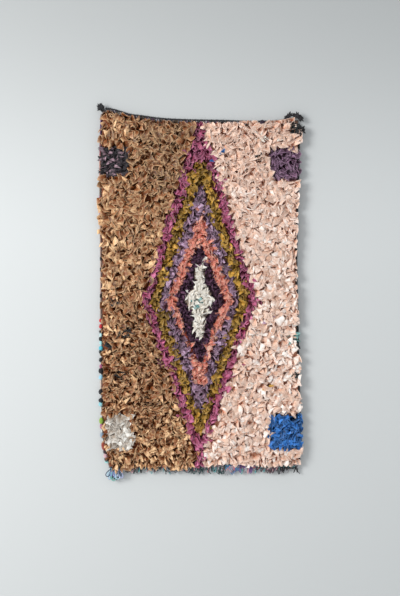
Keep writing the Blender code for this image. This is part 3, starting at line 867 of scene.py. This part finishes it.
def knot_rags(knots, chance):
    """Each knot's rag, how wide its strips are, and how many it has. Borders waver from row to row.
    In the fields every other knot has none, because the strips there are wide."""
    pile = bpy.context.scene.rug_pile
    row, column = np.divmod(np.arange(len(knots)), pile.knots)
    wobble = chance.normal(0, 0.006, (pile.rows, 2))[row, (column >= pile.knots // 2) * 1]
    wobble = wobble * part_way(np.abs(knots[:, 0]), 0, 0.06)
    drop = pile.sag - knots[:, 1]
    rag = rag_at(knots[:, 0] + wobble + chance.normal(0, 0.004, len(knots)), drop)
    wide = np.ones(len(knots))
    for name, x, low, number in STRAYS:
        nearest = np.argsort(np.hypot(knots[:, 0] - x, drop - low))[:number]
        rag[nearest], wide[nearest] = RAG_NAMES.index(name), 0.8
    ends = np.array([look.ends for look in RAG_LOOKS.values()])[rag]
    return rag, wide, np.where((rag < FIELD_RAGS) & ((row + column) % 2 == 1), 0, ends)


def near_side(beyond):
    """How near a strip is to a side, by its share across from the middle."""
    return part_way(np.abs(beyond), 0.465, 0.035)


def near_top(down):
    """How near a strip is to the top edge, by its share down."""
    return np.clip(1 - down / 0.022, 0, 1)


def loose_swings(rag, order, beyond, down, across, chance):
    """How far each strip swings from straight down: by its order in the knot, outwards near the
    sides, less under the top edge, and up over that edge at the right."""
    count = len(rag)
    spread = np.array([look.spread for look in RAG_LOOKS.values()])[rag]
    swing = spread * (order + chance.normal(0, 0.3, count))
    beside = near_side(beyond)
    bare = (beyond < 0) & (down > 0.36)
    sideways = np.sign(beyond) * chance.uniform(0.3, 1.9, count) * np.where(bare, -0.2, 1.0)
    swing = (1 - beside) * swing + beside * sideways
    at_top = near_top(down) > 0
    reaches_up = at_top & (across > 0.17)
    swing = np.where(at_top & ~reaches_up, 0.45 * swing, swing)
    stands = reaches_up & (chance.uniform(0, 1, count) < 0.4)
    return np.where(stands, chance.uniform(2.2, 4.0, count), swing)


def own_swings(swing, rag, across, height, chance):
    """Swings changed so that nearly all strips stay in their own colour: the first try that does.
    The odd knots stay as they are."""
    tries = swing + np.array([0.0, 1.3, -1.3, 2.4, -2.4, 3.1])[:, None]
    there = rag_at(across + SHOWS_AT * np.sin(tries), SHOWS_AT * np.cos(tries) - height)
    kind, kind_there = (np.where(r < FIELD_RAGS, r // 2, r) for r in (rag, there))
    odd = rag >= RAG_NAMES.index("teal")
    keeps = odd | (kind_there == kind) | (chance.uniform(0, 1, len(rag)) < 0.12)
    return np.take_along_axis(tries, np.argmax(keeps, axis=0)[None], axis=0)[0]


def knotted_strips(chance):
    """The ends of every knot: (across, height, swing, how wide), which rag, and how long."""
    knots, share_across, share_down = knot_places(chance)
    rag, wide, ends = knot_rags(knots, chance)
    at_side = np.abs(share_across - 0.5) > 0.45
    ends = np.where(at_side & (ends > 0), ends + 1, ends)
    knot = np.repeat(np.arange(len(knots)), ends)
    across, height = knots[knot].T
    beyond, down, rag = share_across[knot] - 0.5, share_down[knot], rag[knot]
    first = np.r_[0, np.cumsum(ends)[:-1]]
    order = (np.arange(len(knot)) - first[knot] + 0.5) / ends[knot] * 2 - 1
    swing = loose_swings(rag, order, beyond, down, across, chance)
    swing = own_swings(swing, rag, across, height, chance)
    near_end = part_way(down, 0.955, 0.025)
    swing = swing * (1 - 0.6 * near_end)
    roots = np.stack([across + 0.004 * order, height, swing, wide[knot]], -1)
    blue = rag == RAG_NAMES.index("blue")
    strength = 1 - (0.4 - 0.38 * blue) * near_side(beyond) - 0.42 * near_top(down)
    strength = strength - np.where(across > 0, 0.25, 0.1) * near_end
    over_tassel = np.hypot(across - TASSEL[0], height - TASSEL[1]) < 0.016
    roots[over_tassel, 2] *= 0.2
    return roots, rag, strength + 0.75 * over_tassel


def build_rags(names):
    """One piece of strips for each of these rags."""
    chance = np.random.default_rng(41)
    roots, rag, strength = knotted_strips(chance)
    for name in names:
        mine = rag == RAG_NAMES.index(name)
        points, floats, uv, pleated = rag_strips(
            roots[mine], RAG_LOOKS[name], strength[mine, None], chance
        )
        quads, tris = outward(points, *strip_faces(mine.sum()))
        piece = new_piece(f"{name}_rags", points, quads, tris, floats, uv=uv)
        crease_strips(piece, pleated)
        base, look = tuple(dye(name)), RAG_DYES[name.split("_")[0]]
        shades = [shade(base, *tint, look.pale) for tint in look.tints]
        # the edge colour is partly a painted highlight, the root colour a painted shade
        edge, root = shade(base, *look.edge, look.pale), tuple(np.array(base) * look.root)
        finish_piece(piece, rag_material(f"{name}_rag", shades, edge, root, look), "rags")


class RUG_OT_fields(bpy.types.Operator):
    """Knot the tan field and the pale pink field"""

    bl_idname = "rug.fields"
    bl_label = "Two fields"

    def execute(self, context):
        build_rags(("tan_upper", "tan_lower", "blush_upper", "blush_lower"))
        return {"FINISHED"}


class RUG_OT_lozenge(bpy.types.Operator):
    """Knot the nested lozenge"""

    bl_idname = "rug.lozenge"
    bl_label = "Nested lozenge"

    def execute(self, context):
        build_rags([row[0] for row in LOZENGES])
        return {"FINISHED"}


class RUG_OT_squares(bpy.types.Operator):
    """Knot the corner squares and the odd strips of other rags"""

    bl_idname = "rug.squares"
    bl_label = "Corner squares and odd knots"

    def execute(self, context):
        build_rags([row[0] for row in SQUARES] + ["teal", "black"])
        return {"FINISHED"}


def cord_path(across):
    """Centre line of the top cord at each place across."""
    radius = bpy.context.scene.rug_edges.cord
    return points_at(across, -radius - 0.0004, top_edge(across) + radius + 0.0004)


def yarn_piece(name, parts, colours, slot, *nodes):
    """Sets of yarn as one piece. Each set has one colour, or one for each equal run of points."""
    points, quads, tris = joined(parts)
    dyes = []
    for (part, _, _), colour in zip(parts, colours):
        runs = np.atleast_2d(colour)
        dyes.append(np.repeat(runs, len(part) // len(runs), axis=0))
    piece = new_piece(name, points, quads, tris, dyes=np.concatenate(dyes))
    material = bpy.data.materials.get("spun_yarn") or yarn_material("spun_yarn")
    return finish_piece(piece, material, slot, *nodes)


def twined(path, turn, phases, deep, high):
    """Plies laid round a path: in depth by the cosine and in height by the sine of the turn at each
    point plus the ply's phase."""
    return [path + points_at(0, deep * np.cos(turn + p), high * np.sin(turn + p)) for p in phases]


def hairs(starts, ways, lengths, chance):
    """Loose fibres: thin tapering tubes that droop with the square of the share along them."""
    t = np.linspace(0, 1, 4)[None, :, None]
    curl = chance.normal(0, 0.35, (len(starts), 1, 3))
    ways = ways * (1, 0, 1) - np.abs(ways) * (0, 0.4, 0)
    curl = curl * (1, 0.2, 1)
    paths = starts[:, None] + lengths[:, None, None] * (ways[:, None] * t + curl * t**2)
    radii = np.broadcast_to(0.00032 * (1 - 0.85 * t[..., 0]), paths.shape[:2])
    return tubes(paths, radii, 3, np.array([0.31, 0.83, 0.46]))


def wound_ball(centre, radius, yarn, turns, phase):
    """A ball of wound yarn: one path over a squashed sphere, going round its axis 'turns' times
    while the winding plane itself goes round once."""
    s = np.linspace(0, 2 * math.pi, 22 * turns)
    a, b = turns * s, s + phase
    x, y, z = np.cos(a) * np.cos(b), np.cos(a) * np.sin(b), np.sin(a)
    tilted = np.stack([x, 0.6 * y + 0.8 * z, 0.6 * z - 0.8 * y], -1)
    path = np.asarray(centre) + np.asarray(radius) * tilted
    return tubes(path[None], np.full((1, len(path)), yarn), 5, tilted[None])


def stubs(centre, radius, yarn, count, length, chance):
    """Short cut yarn ends that stand out of a knot all round its front."""
    way = unit(chance.normal(0, 1, (count, 3)) * (1, 0.5, 1) + (0, -0.25, 0.1))
    way = way * (1, 0, 1) - np.abs(way) * (0, 1, 0)
    t = np.linspace(0, 1, 4)[None, :, None]
    bend = chance.normal(0, 0.25, (count, 1, 3)) * (1, 0, 1)
    reach = chance.uniform(0.6, 1.0, (count, 1, 1)) * length
    foot = np.asarray(centre) + way[:, None] * np.asarray(radius) * 0.8
    paths = foot + reach * (way[:, None] * t + bend * t**2)
    radii = np.broadcast_to(yarn * np.array([1.0, 1.05, 1.15, 0.8]), paths.shape[:2])
    return tubes(paths, radii, 6, np.array([0.27, 0.89, 0.36]))


def hanging_ends(places, depth, lengths, radius, loops, chance):
    """Yarn ends and loops that hang down. An end hangs along a line that sways with the square of
    the share along it. A loop goes down and up again: across by the cosine and down by the sine
    of half a turn."""
    count = len(places)
    t = np.linspace(0, 1, 9)[None, :]
    depth, lengths, loops = depth[:, None], lengths[:, None], loops[:, None]
    sway = chance.normal(0, 0.3, count)[:, None]
    open_loop = chance.uniform(0.1, 0.28, count)[:, None] * lengths
    out = chance.uniform(-0.16, 0.1, count)[:, None] * lengths * t
    out = np.where(loops, 0.001 * np.cos(math.pi * t), out)
    down = np.where(loops, np.sin(math.pi * t), t)
    sideways = np.where(loops, -open_loop * np.cos(math.pi * t), sway * lengths * t**2)
    paths = points_at(
        places[:, :1] + sideways, np.minimum(out - depth, -radius * 1.1),
        places[:, 1:] - lengths * down,
    )
    thick = np.broadcast_to(radius * chance.uniform(0.8, 1.25, count)[:, None], paths.shape[:2])
    return tubes(paths, thick, 5, ASKEW)


class RUG_OT_top_cord(bpy.types.Operator):
    """Twine the cord along the top edge, with one knot in it"""

    bl_idname = "rug.top_cord"
    bl_label = "Top cord"

    def execute(self, context):
        chance = np.random.default_rng(7)
        radius = context.scene.rug_edges.cord
        across = np.linspace(*CORD_ENDS, 420)
        turn = 2 * math.pi * across / 0.017
        plies = twined(cord_path(across), turn, (0, math.pi), 0.45 * radius, 0.45 * radius)
        lumps = 1 + 0.22 * np.sin(across * 410) * np.sin(across * 173 + 1.1)
        sizes = np.broadcast_to(0.58 * radius * lumps, (2, len(across)))
        cord = tubes(np.stack(plies), sizes, 6, INWARDS)
        knot_at = cord_path(np.array([CORD_KNOT]))[0] + (0, -0.026, -0.01)
        knot = wound_ball(knot_at, (0.012, 0.006, 0.0115), 0.0024, 7, 0.4)
        ends = stubs(knot_at, (0.007, 0.005, 0.007), 0.002, 6, 0.007, chance)
        fuzz = self.fuzz(330, chance)
        specks, tones = self.specks(130, chance)
        charcoal, plum = dye("charcoal"), np.array([0.026, 0.012, 0.028])
        yarn_piece(
            "twined_top_cord", [cord, fuzz, knot, ends, specks],
            [charcoal, charcoal, plum, plum, tones], "charcoal_yarn", "top_cord",
        )
        return {"FINISHED"}

    def fuzz(self, count, chance):
        """Loose fibres that stand up from the cord, more of them at the left."""
        start = chance.uniform(0, 0.98, count) ** 1.4
        roots = cord_path(CORD_ENDS[0] + start * (CORD_ENDS[1] - CORD_ENDS[0]))
        ways = unit(chance.normal(0, 0.7, (count, 3)) + (0, -0.2, 0.7))
        return hairs(roots, ways, chance.uniform(0.005, 0.015, count), chance)

    def specks(self, count, chance):
        """Short ends of many yarns just below the cord, and their colours."""
        below = chance.uniform(-0.44, 0.33, count)
        places = np.stack([below, top_edge(below) + 0.002], -1)
        depth, lengths = chance.uniform(0.007, 0.014, count), chance.uniform(0.008, 0.018, count)
        ends = hanging_ends(
            places, depth, lengths, 0.0019, chance.uniform(0, 1, count) < 0.3, chance
        )
        tones = np.array([
            (0.03, 0.03, 0.035), (0.12, 0.11, 0.13), (0.07, 0.03, 0.07), (0.02, 0.02, 0.022),
            (0.3, 0.28, 0.3), (0.1, 0.06, 0.03),
        ])
        return ends, tones[chance.integers(0, 6, count)]


INK, SOOT, PALE = (0.012, 0.012, 0.016), (0.015, 0.015, 0.02), (0.56, 0.58, 0.58)
SIDE_STITCHES = (  # drop, how thick and which colour the wrapping is there on the left side
    (0.0, 1.0, (0.1, 0.03, 0.09)), (0.075, 0.9, (0.3, 0.2, 0.14)), (0.12, 1.0, (0.28, 0.1, 0.12)),
    (0.18, 1.0, (0.45, 0.24, 0.2)), (0.3, 0.9, (0.2, 0.16, 0.13)), (0.38, 1.0, (0.32, 0.12, 0.2)),
    (0.48, 1.0, (0.4, 0.26, 0.2)), (0.56, 0.9, (0.25, 0.15, 0.12)), (0.685, 1.3, SOOT),
    (0.702, 0.8, (0.35, 0.22, 0.16)), (0.74, 1.3, SOOT), (0.758, 0.8, (0.3, 0.18, 0.15)),
    (0.87, 1.3, SOOT), (0.888, 0.8, (0.25, 0.17, 0.14)), (0.994, 1.6, (0.5, 0.03, 0.03)),
    (1.012, 0.6, PALE), (1.022, 1.7, (0.5, 0.03, 0.04)), (1.042, 0.5, PALE), (1.049, 1.7, INK),
    (1.066, 1.2, (0.45, 0.7, 0.72)), (1.084, 1.9, INK), (1.104, 1.3, (0.35, 0.66, 0.68)),
    (1.124, 0.5, PALE), (1.131, 2.0, (0.1, 0.5, 0.62)), (1.15, 1.9, INK), (1.168, 0.6, PALE),
    (1.19, 1.9, INK), (1.21, 0.6, PALE), (1.222, 1.5, (0.38, 0.1, 0.22)), (1.24, 2.2, INK),
    (1.266, 0.6, PALE), (1.275, 2.0, (0.32, 0.58, 0.72)), (1.297, 0.7, (0.55, 0.42, 0.34)),
    (1.346, 2.1, INK), (1.37, 0.6, PALE), (1.39, 2.2, INK), (1.41, 2.2, (0.28, 0.6, 0.68)),
    (1.43, 0.6, PALE), (1.488, 2.1, (0.26, 0.42, 0.06)), (1.518, 1.6, (0.42, 0.14, 0.26)),
    (1.542, 0.7, PALE), (1.562, 1.9, (0.25, 0.33, 0.42)), (1.588, 0.7, PALE),
    (1.61, 2.0, (0.3, 0.06, 0.04)), (1.65, 1.6, (0.05, 0.03, 0.04)), (1.668, 1.9, (0.62, 0.4, 0.44)),
    (1.688, 1.9, (0.02, 0.02, 0.03)), (1.704, 2.1, (0.3, 0.62, 0.62)), (1.724, 2.0, INK),
)
TURNS, TURN_STEPS = 300, 9  # turns of the yarn round each side, and its sections in a turn
WIDE_BELOW = 0.95  # below this drop the left side's wrapping is wider


def wrapped_side(name, column, stitches, node, slot):
    """Yarn wound round a side cord: a helix whose oval radius swells in the middle of each colour
    by the sine of half a turn. Each stitch is where it starts, how thick it is and its colour."""
    drops, bulks, dyes = (np.array([row[k] for row in stitches]) for k in range(3))
    radius = bpy.context.scene.rug_edges.side
    share = np.linspace(0.012, 0.985, TURN_STEPS * TURNS)
    across, height = side_place(share, column)
    run = np.clip(np.searchsorted(drops, -height) - 1, 0, len(drops) - 1)
    ends = np.append(drops, drops[-1] + 0.03)
    part = part_way(-height, ends[run], ends[run + 1] - ends[run])
    bulge = np.maximum(bulks[run] - 1, 0) * np.sin(math.pi * part) ** 0.6
    size = radius * np.clip(np.minimum(bulks[run], 1) + bulge, 0.45, 2.3)
    across = across + (0.001 if column == 2 else -0.003)
    depth = -np.maximum(size * 0.9, 0.0028) - 0.0022
    angle = 2 * math.pi * TURNS * np.linspace(0, 1, len(share))
    wide = np.where((column == 1) & (height < -WIDE_BELOW), 1.35, 1.0)
    turn_across = wide * np.maximum(size - 0.0016, 0.0006) * np.cos(angle)
    turn_out = np.maximum(size * 0.85 - 0.0012, 0.0006) * np.sin(angle)
    path = points_at(across + turn_across, depth + turn_out, height)
    yarn = np.full((1, len(share)), 0.0025)
    strand = tubes(path[None], yarn, 4, np.array([0.0, 0.0, 1.0]))
    core = points_at(across, depth, height)[::TURN_STEPS]
    middle = tubes(core[None], (size * 0.7)[None, ::TURN_STEPS], 8, INWARDS)
    colours = [dyes[run], 0.7 * dyes[run[::TURN_STEPS]]]
    return yarn_piece(name, [strand, middle], colours, slot, node)


class RUG_OT_sides(bpy.types.Operator):
    """Wrap the two sides with rag and yarn"""

    bl_idname = "rug.sides"
    bl_label = "Wrapped sides"

    def execute(self, context):
        wrapped_side("wrapped_left_side", 1, SIDE_STITCHES, "left_selvedge", "wrapped_rag")
        chance = np.random.default_rng(3)
        drops = np.arange(0.01, 1.74, 0.03)
        drops = drops + chance.uniform(-0.008, 0.008, len(drops))
        shades = dye("charcoal") * chance.uniform(0.4, 1.6, (len(drops), 1))
        shades[35] = (0.1, 0.24, 0.26)  # one stitch is teal
        stitches = list(zip(drops, np.full(len(drops), 1.25), shades))
        wrapped_side("wrapped_right_side", 2, stitches, "right_selvedge", "charcoal_yarn")
        return {"FINISHED"}


LOOP_ARCH = (  # across, height
    (0.427, -0.002), (0.436, 0.008), (0.45, 0.017), (0.47, 0.02), (0.486, 0.017), (0.499, 0.008),
    (0.51, -0.003),
)
LOOP_KNOBS = (  # share along the arch, radius
    (0.04, 0.0085), (0.2, 0.0065), (0.34, 0.0095), (0.5, 0.006), (0.63, 0.01), (0.8, 0.007),
    (0.95, 0.0075),
)


class RUG_OT_corners(bpy.types.Operator):
    """Tie the yarn knot and the knotted loop at the top corners"""

    bl_idname = "rug.corners"
    bl_label = "Corner knots"

    def execute(self, context):
        chance = np.random.default_rng(5)
        charcoal = dye("charcoal")
        knot = self.left_knot(chance)
        yarn_piece("left_corner_knot", knot, [charcoal] * 4, "charcoal_yarn", "corner_knot")
        loop = self.right_loop(chance)
        plum = np.array([0.003, 0, 0.003])
        tones = [charcoal * (0.6 if k % 3 else 0.9) + plum * (k % 2) for k in range(len(loop))]
        yarn_piece("right_corner_loop", loop, tones, "charcoal_yarn", "corner_loop")
        return {"FINISHED"}

    def left_knot(self, chance):
        """A wound ball with cut ends and loose fibres."""
        centre, radius = (-0.493, -0.0165, 0.059), np.array([0.0135, 0.0095, 0.015])
        ball = wound_ball(centre, radius, 0.0026, 9, 0.9)
        inner = wound_ball(centre, 0.75 * radius, 0.003, 6, 2.1)
        ends = stubs(centre, radius, 0.003, 34, 0.011, chance)
        ways = unit(chance.normal(0, 1, (24, 3)) + (0.5, -0.2, 0.5))
        fuzz = hairs(centre + ways * radius, ways, chance.uniform(0.008, 0.018, 24), chance)
        return [ball, inner, ends, fuzz]

    def right_loop(self, chance):
        """An arch of three plies with knobs of wound yarn along it, and a bunch under its end."""
        at = np.linspace(0, 1, 90)
        table = np.column_stack([np.linspace(0, 1, len(LOOP_ARCH)), LOOP_ARCH])
        path = points_at(smooth_curve(table, 1, at), -0.02, smooth_curve(table, 2, at))
        plies = twined(path, 2 * math.pi * at * 9, (0, 2.1, 4.2), 0.0026, 0.0026)
        parts = [tubes(np.stack(plies), np.full((3, 90), 0.0026), 6, INWARDS)]
        for share, size in LOOP_KNOBS:
            aside = chance.normal(0, 0.003, 3) * (1, 0, 1)
            knob = path[int(share * 89)] + (0, 0.001, 0.0015) + aside
            parts.append(wound_ball(knob, size, 0.0026, 5, 10 * share))
            parts.append(stubs(knob, size, 0.0024, 12, 0.012, chance))
        bunch = (0.502, -0.026, -0.059)
        parts.append(wound_ball(bunch, (0.012, 0.007, 0.014), 0.003, 5, 0.3))
        parts.append(stubs(bunch, (0.013, 0.007, 0.015), 0.003, 34, 0.014, chance))
        return parts


FRINGE_RUNS = (  # across, where a run of the fringe's yarn starts, and its colour
    (-0.375, (0.04, 0.046, 0.048)), (-0.1, (0.03, 0.062, 0.064)), (0.125, (0.08, 0.19, 0.38)),
    (0.195, (0.17, 0.1, 0.26)), (0.275, (0.065, 0.035, 0.045)),
)
CHARCOAL_RUN = 0.385  # the last run is charcoal
ODD_YARNS = (  # the shares of the ends, from and to, that have another colour
    (0.0, 0.05, (0.5, 0.12, 0.14)), (0.05, 0.11, (0.6, 0.34, 0.38)), (0.11, 0.18, (0.12, 0.32, 0.34)),
    (0.18, 0.36, (0.32, 0.33, 0.36)), (0.36, 0.46, (0.16, 0.14, 0.16)),
)


def fringe_dyes(across, odd):
    """The colour of the fringe's yarn at each place, where odd is a number by chance."""
    starts, shades = zip(*FRINGE_RUNS, (CHARCOAL_RUN, 0.9 * dye("charcoal")))
    colour = np.array(shades)[np.clip(np.searchsorted(starts, across) - 1, 0, len(starts) - 1)]
    for low, high, other in ODD_YARNS:
        colour = np.where(((low < odd) & (odd < high))[:, None], other, colour)
    return colour


class RUG_OT_fringe(bpy.types.Operator):
    """Hang the fringe of yarn ends and the corner tassel"""

    bl_idname = "rug.fringe"
    bl_label = "Fringe and tassel"

    def execute(self, context):
        chance = np.random.default_rng(17)
        ends, shades = self.ends(context.scene.rug_edges, chance)
        bar, bar_shades = self.heading_bar(chance)
        fuzz = self.fuzz(420, chance)
        yarn_piece(
            "bottom_yarn_fringe", [ends, bar, fuzz], [shades, bar_shades, 1.5 * dye("charcoal")],
            "charcoal_yarn", "bottom_fringe",
        )
        tassel, shades = self.tassel(30, chance)
        wefts = self.tassel_wefts()
        yarn_piece(
            "lower_corner_tassel", [tassel, wefts], [shades, (0.03, 0.06, 0.07)],
            "aqua_yarn", "corner_tassel",
        )
        return {"FINISHED"}

    def ends(self, edges, chance):
        """Loops and cut ends in bunches under the bottom edge, and their colours."""
        count = edges.thrums
        bunch = np.sort(chance.uniform(-0.372, 0.484, count // 3))
        across = np.clip(chance.choice(bunch, count) + chance.normal(0, 0.005, count), -0.374, 0.486)
        places = np.stack([across, low_edge(across) + chance.uniform(-0.006, 0.012, count)], -1)
        lengths = chance.uniform(0.01, 0.034, count)
        loops = chance.uniform(0, 1, count) < 0.55
        depth = chance.uniform(0.0045, 0.013, count)
        made = hanging_ends(places, depth, lengths, edges.yarn, loops, chance)
        return made, fringe_dyes(across, chance.uniform(0, 1, count))

    def heading_bar(self, chance):
        """Four wandering rows of two twined wefts that bind the ends, and their colours."""
        steps = 520
        x = np.linspace(-0.374, 0.487, steps)
        plies = []
        for k in range(4):
            wander = 0.0022 * np.sin(37 * x + 2 * k)
            row = points_at(x, -0.008, low_edge(x) + 0.0115 - 0.0058 * k + wander)
            turn = 2 * math.pi * x / 0.021 + 1.7 * k
            plies += twined(row, turn, (0, math.pi), -0.0022, 0.002)
        thick = 0.0024 * (1 + 0.3 * np.sin(610 * x) * np.sin(97 * x))
        bar = tubes(np.stack(plies), np.broadcast_to(thick, (len(plies), steps)), 5, INWARDS)
        odd = np.repeat(chance.uniform(0.0, 1, (len(plies), steps // 8)), 8, axis=1).ravel()
        return bar, fringe_dyes(np.tile(x, len(plies)), odd)

    def fuzz(self, count, chance):
        """Loose fibres under the bottom edge."""
        x = chance.uniform(-0.37, 0.485, count)
        starts = points_at(x, -0.008, low_edge(x) - 0.004)
        ways = unit(chance.normal(0, 0.6, (count, 3)) * (1, 0.4, 1) + (0, -0.1, -1.0))
        return hairs(starts, ways, chance.uniform(0.01, 0.03, count), chance)

    def tassel(self, count, chance):
        """Loops and cut ends that spread from the corner like a fan, and their colours. A loop goes
        down by the sine of half a turn and aside by the sine of a whole one."""
        spread = chance.uniform(-1, 1, count)[:, None]
        t = np.linspace(0, 1, 13)[None, :]
        lengths = chance.uniform(0.034, 0.064, count)[:, None] * (1 - 0.25 * np.abs(spread))
        turn = 0.4 * spread - 0.05 + chance.normal(0, 0.18, count)[:, None]
        loops = (chance.uniform(0, 1, count) < 0.75)[:, None]
        along = lengths * np.where(loops, np.sin(math.pi * t), t)
        open_out = chance.uniform(0.12, 0.24, count)[:, None] * lengths
        beside = np.where(loops, -open_out * np.sin(2 * math.pi * t), 0.1 * lengths * t**2)
        foot = -0.424 + 0.022 * spread
        depth = np.linspace(0.004, 0.026, count)[:, None] + 0.002 * np.sin(math.pi * t)
        paths = points_at(
            foot + along * np.sin(turn) + beside * np.cos(turn), -depth,
            low_edge(foot) - 0.004 - along * np.cos(turn) + beside * np.sin(turn),
        )
        ends = tubes(paths, np.full((count, 13), 0.0022), 5, ASKEW)
        palette = np.array([
            (0.16, 0.42, 0.36), (0.22, 0.3, 0.56), (0.66, 0.78, 0.84), (0.03, 0.05, 0.09),
            (0.34, 0.36, 0.56), (0.42, 0.6, 0.72),
        ])
        return ends, palette[chance.integers(0, 6, count)]

    def tassel_wefts(self):
        """Two plain wefts that hold the tassel to the corner."""
        x = np.linspace(-0.45, -0.386, 30)
        rows = [points_at(x, -0.004, low_edge(x) - 0.0022 - 0.003 * k) for k in range(2)]
        return tubes(np.stack(rows), np.full((2, 30), 0.0021), 6, INWARDS)


class RUG_OT_stage(bpy.types.Operator):
    """Set up the wall, the floor, the soft light and the camera"""

    bl_idname = "rug.stage"
    bl_label = "Room, lights and camera"

    def execute(self, context):
        scene, stage = context.scene, context.scene.rug_stage
        middle = Vector((0.0, 0.0, -0.89))
        self.camera(scene, stage, middle)
        self.room(stage)
        self.window(scene, stage, middle)
        world = bpy.data.worlds.new("room")
        world.use_nodes = True
        sky = world.node_tree.nodes["Background"]
        sky.inputs["Color"].default_value = (0.93, 0.95, 0.97, 1.0)
        sky.inputs["Strength"].default_value = stage.fill
        scene.world = world
        scene.view_settings.view_transform = "Standard"
        return {"FINISHED"}

    def camera(self, scene, stage, middle):
        """A camera straight in front of the rug."""
        camera = bpy.data.cameras.new("Camera")
        camera.sensor_width = 36.0
        camera.lens = camera.sensor_width * stage.distance / stage.seen
        seer = bpy.data.objects.new("Camera", camera)
        seer.location = middle + Vector((0, -stage.distance, 0))
        seer.rotation_euler = (math.pi / 2, 0, 0)
        scene.collection.objects.link(seer)
        scene.camera = seer

    def room(self, stage):
        """A wall just behind the rug, which stops no light, and a floor."""
        low, high, back, side = -2.52, 2.2, 0.008, 3.4
        wall = self.panel("wall", wall_material(stage.wall), [
            (-side, back, low), (side, back, low), (side, back, high), (-side, back, high),
        ])
        wall.visible_shadow = wall.visible_diffuse = wall.visible_glossy = False
        paint = Paint("floor_paint").finish({
            "Base Color": stage.floor, "Roughness": 0.8, "Specular IOR Level": 0.2,
        })
        self.panel("floor", paint, [(-6, -7, low), (6, -7, low), (6, 5, low), (-6, 5, low)])

    def panel(self, name, material, corners):
        """One flat part of the room."""
        piece = new_piece(name, np.array(corners), np.array([[0, 1, 2, 3]]))
        piece.data.materials.append(material)
        return piece

    def window(self, scene, stage, middle):
        """A large soft light at the left that faces the rug."""
        light = bpy.data.lights.new("window", "AREA")
        light.shape, light.size, light.size_y = "RECTANGLE", 2.6, 2.8
        light.energy = stage.key
        light.color = (1.0, 0.985, 0.96)
        lamp = bpy.data.objects.new("window", light)
        lamp.location = (-5.0, -4.6, 0.9)
        lamp.rotation_euler = (middle - lamp.location).to_track_quat("-Z", "Y").to_euler()
        scene.collection.objects.link(lamp)


OPERATORS = (
    RUG_OT_ground, RUG_OT_fields, RUG_OT_lozenge, RUG_OT_squares, RUG_OT_top_cord, RUG_OT_sides,
    RUG_OT_corners, RUG_OT_fringe, RUG_OT_stage,
)
GROUPS = {
    "rug_colours": RagColours,
    "rug_pile": PileSizes,
    "rug_ground": GroundSizes,
    "rug_edges": EdgeSizes,
    "rug_stage": StageSettings,
}


class RUG_PT_panel(bpy.types.Panel):
    """Settings and pieces of the rag rug"""

    bl_idname = "RUG_PT_panel"
    bl_label = "Rag rug"
    bl_space_type = "VIEW_3D"
    bl_region_type = "UI"
    bl_category = "Rag rug"

    def draw(self, context):
        for key, group in GROUPS.items():
            box = self.layout.box()
            box.label(text=group.__doc__)
            for field in group.__annotations__:
                box.prop(getattr(context.scene, key), field)
        for made in OPERATORS:
            self.layout.operator(made.bl_idname)


def register():
    for group in (*GROUPS.values(), *OPERATORS, RUG_PT_panel):
        bpy.utils.register_class(group)
    for key, group in GROUPS.items():
        setattr(bpy.types.Scene, key, PointerProperty(type=group))


def unregister():
    for key in GROUPS:
        delattr(bpy.types.Scene, key)
    for group in (RUG_PT_panel, *reversed(OPERATORS), *reversed(GROUPS.values())):
        bpy.utils.unregister_class(group)


def main():
    register()
    for made in OPERATORS:
        area, name = made.bl_idname.split(".")
        getattr(getattr(bpy.ops, area), name)()


if __name__ == "__main__":
    main()
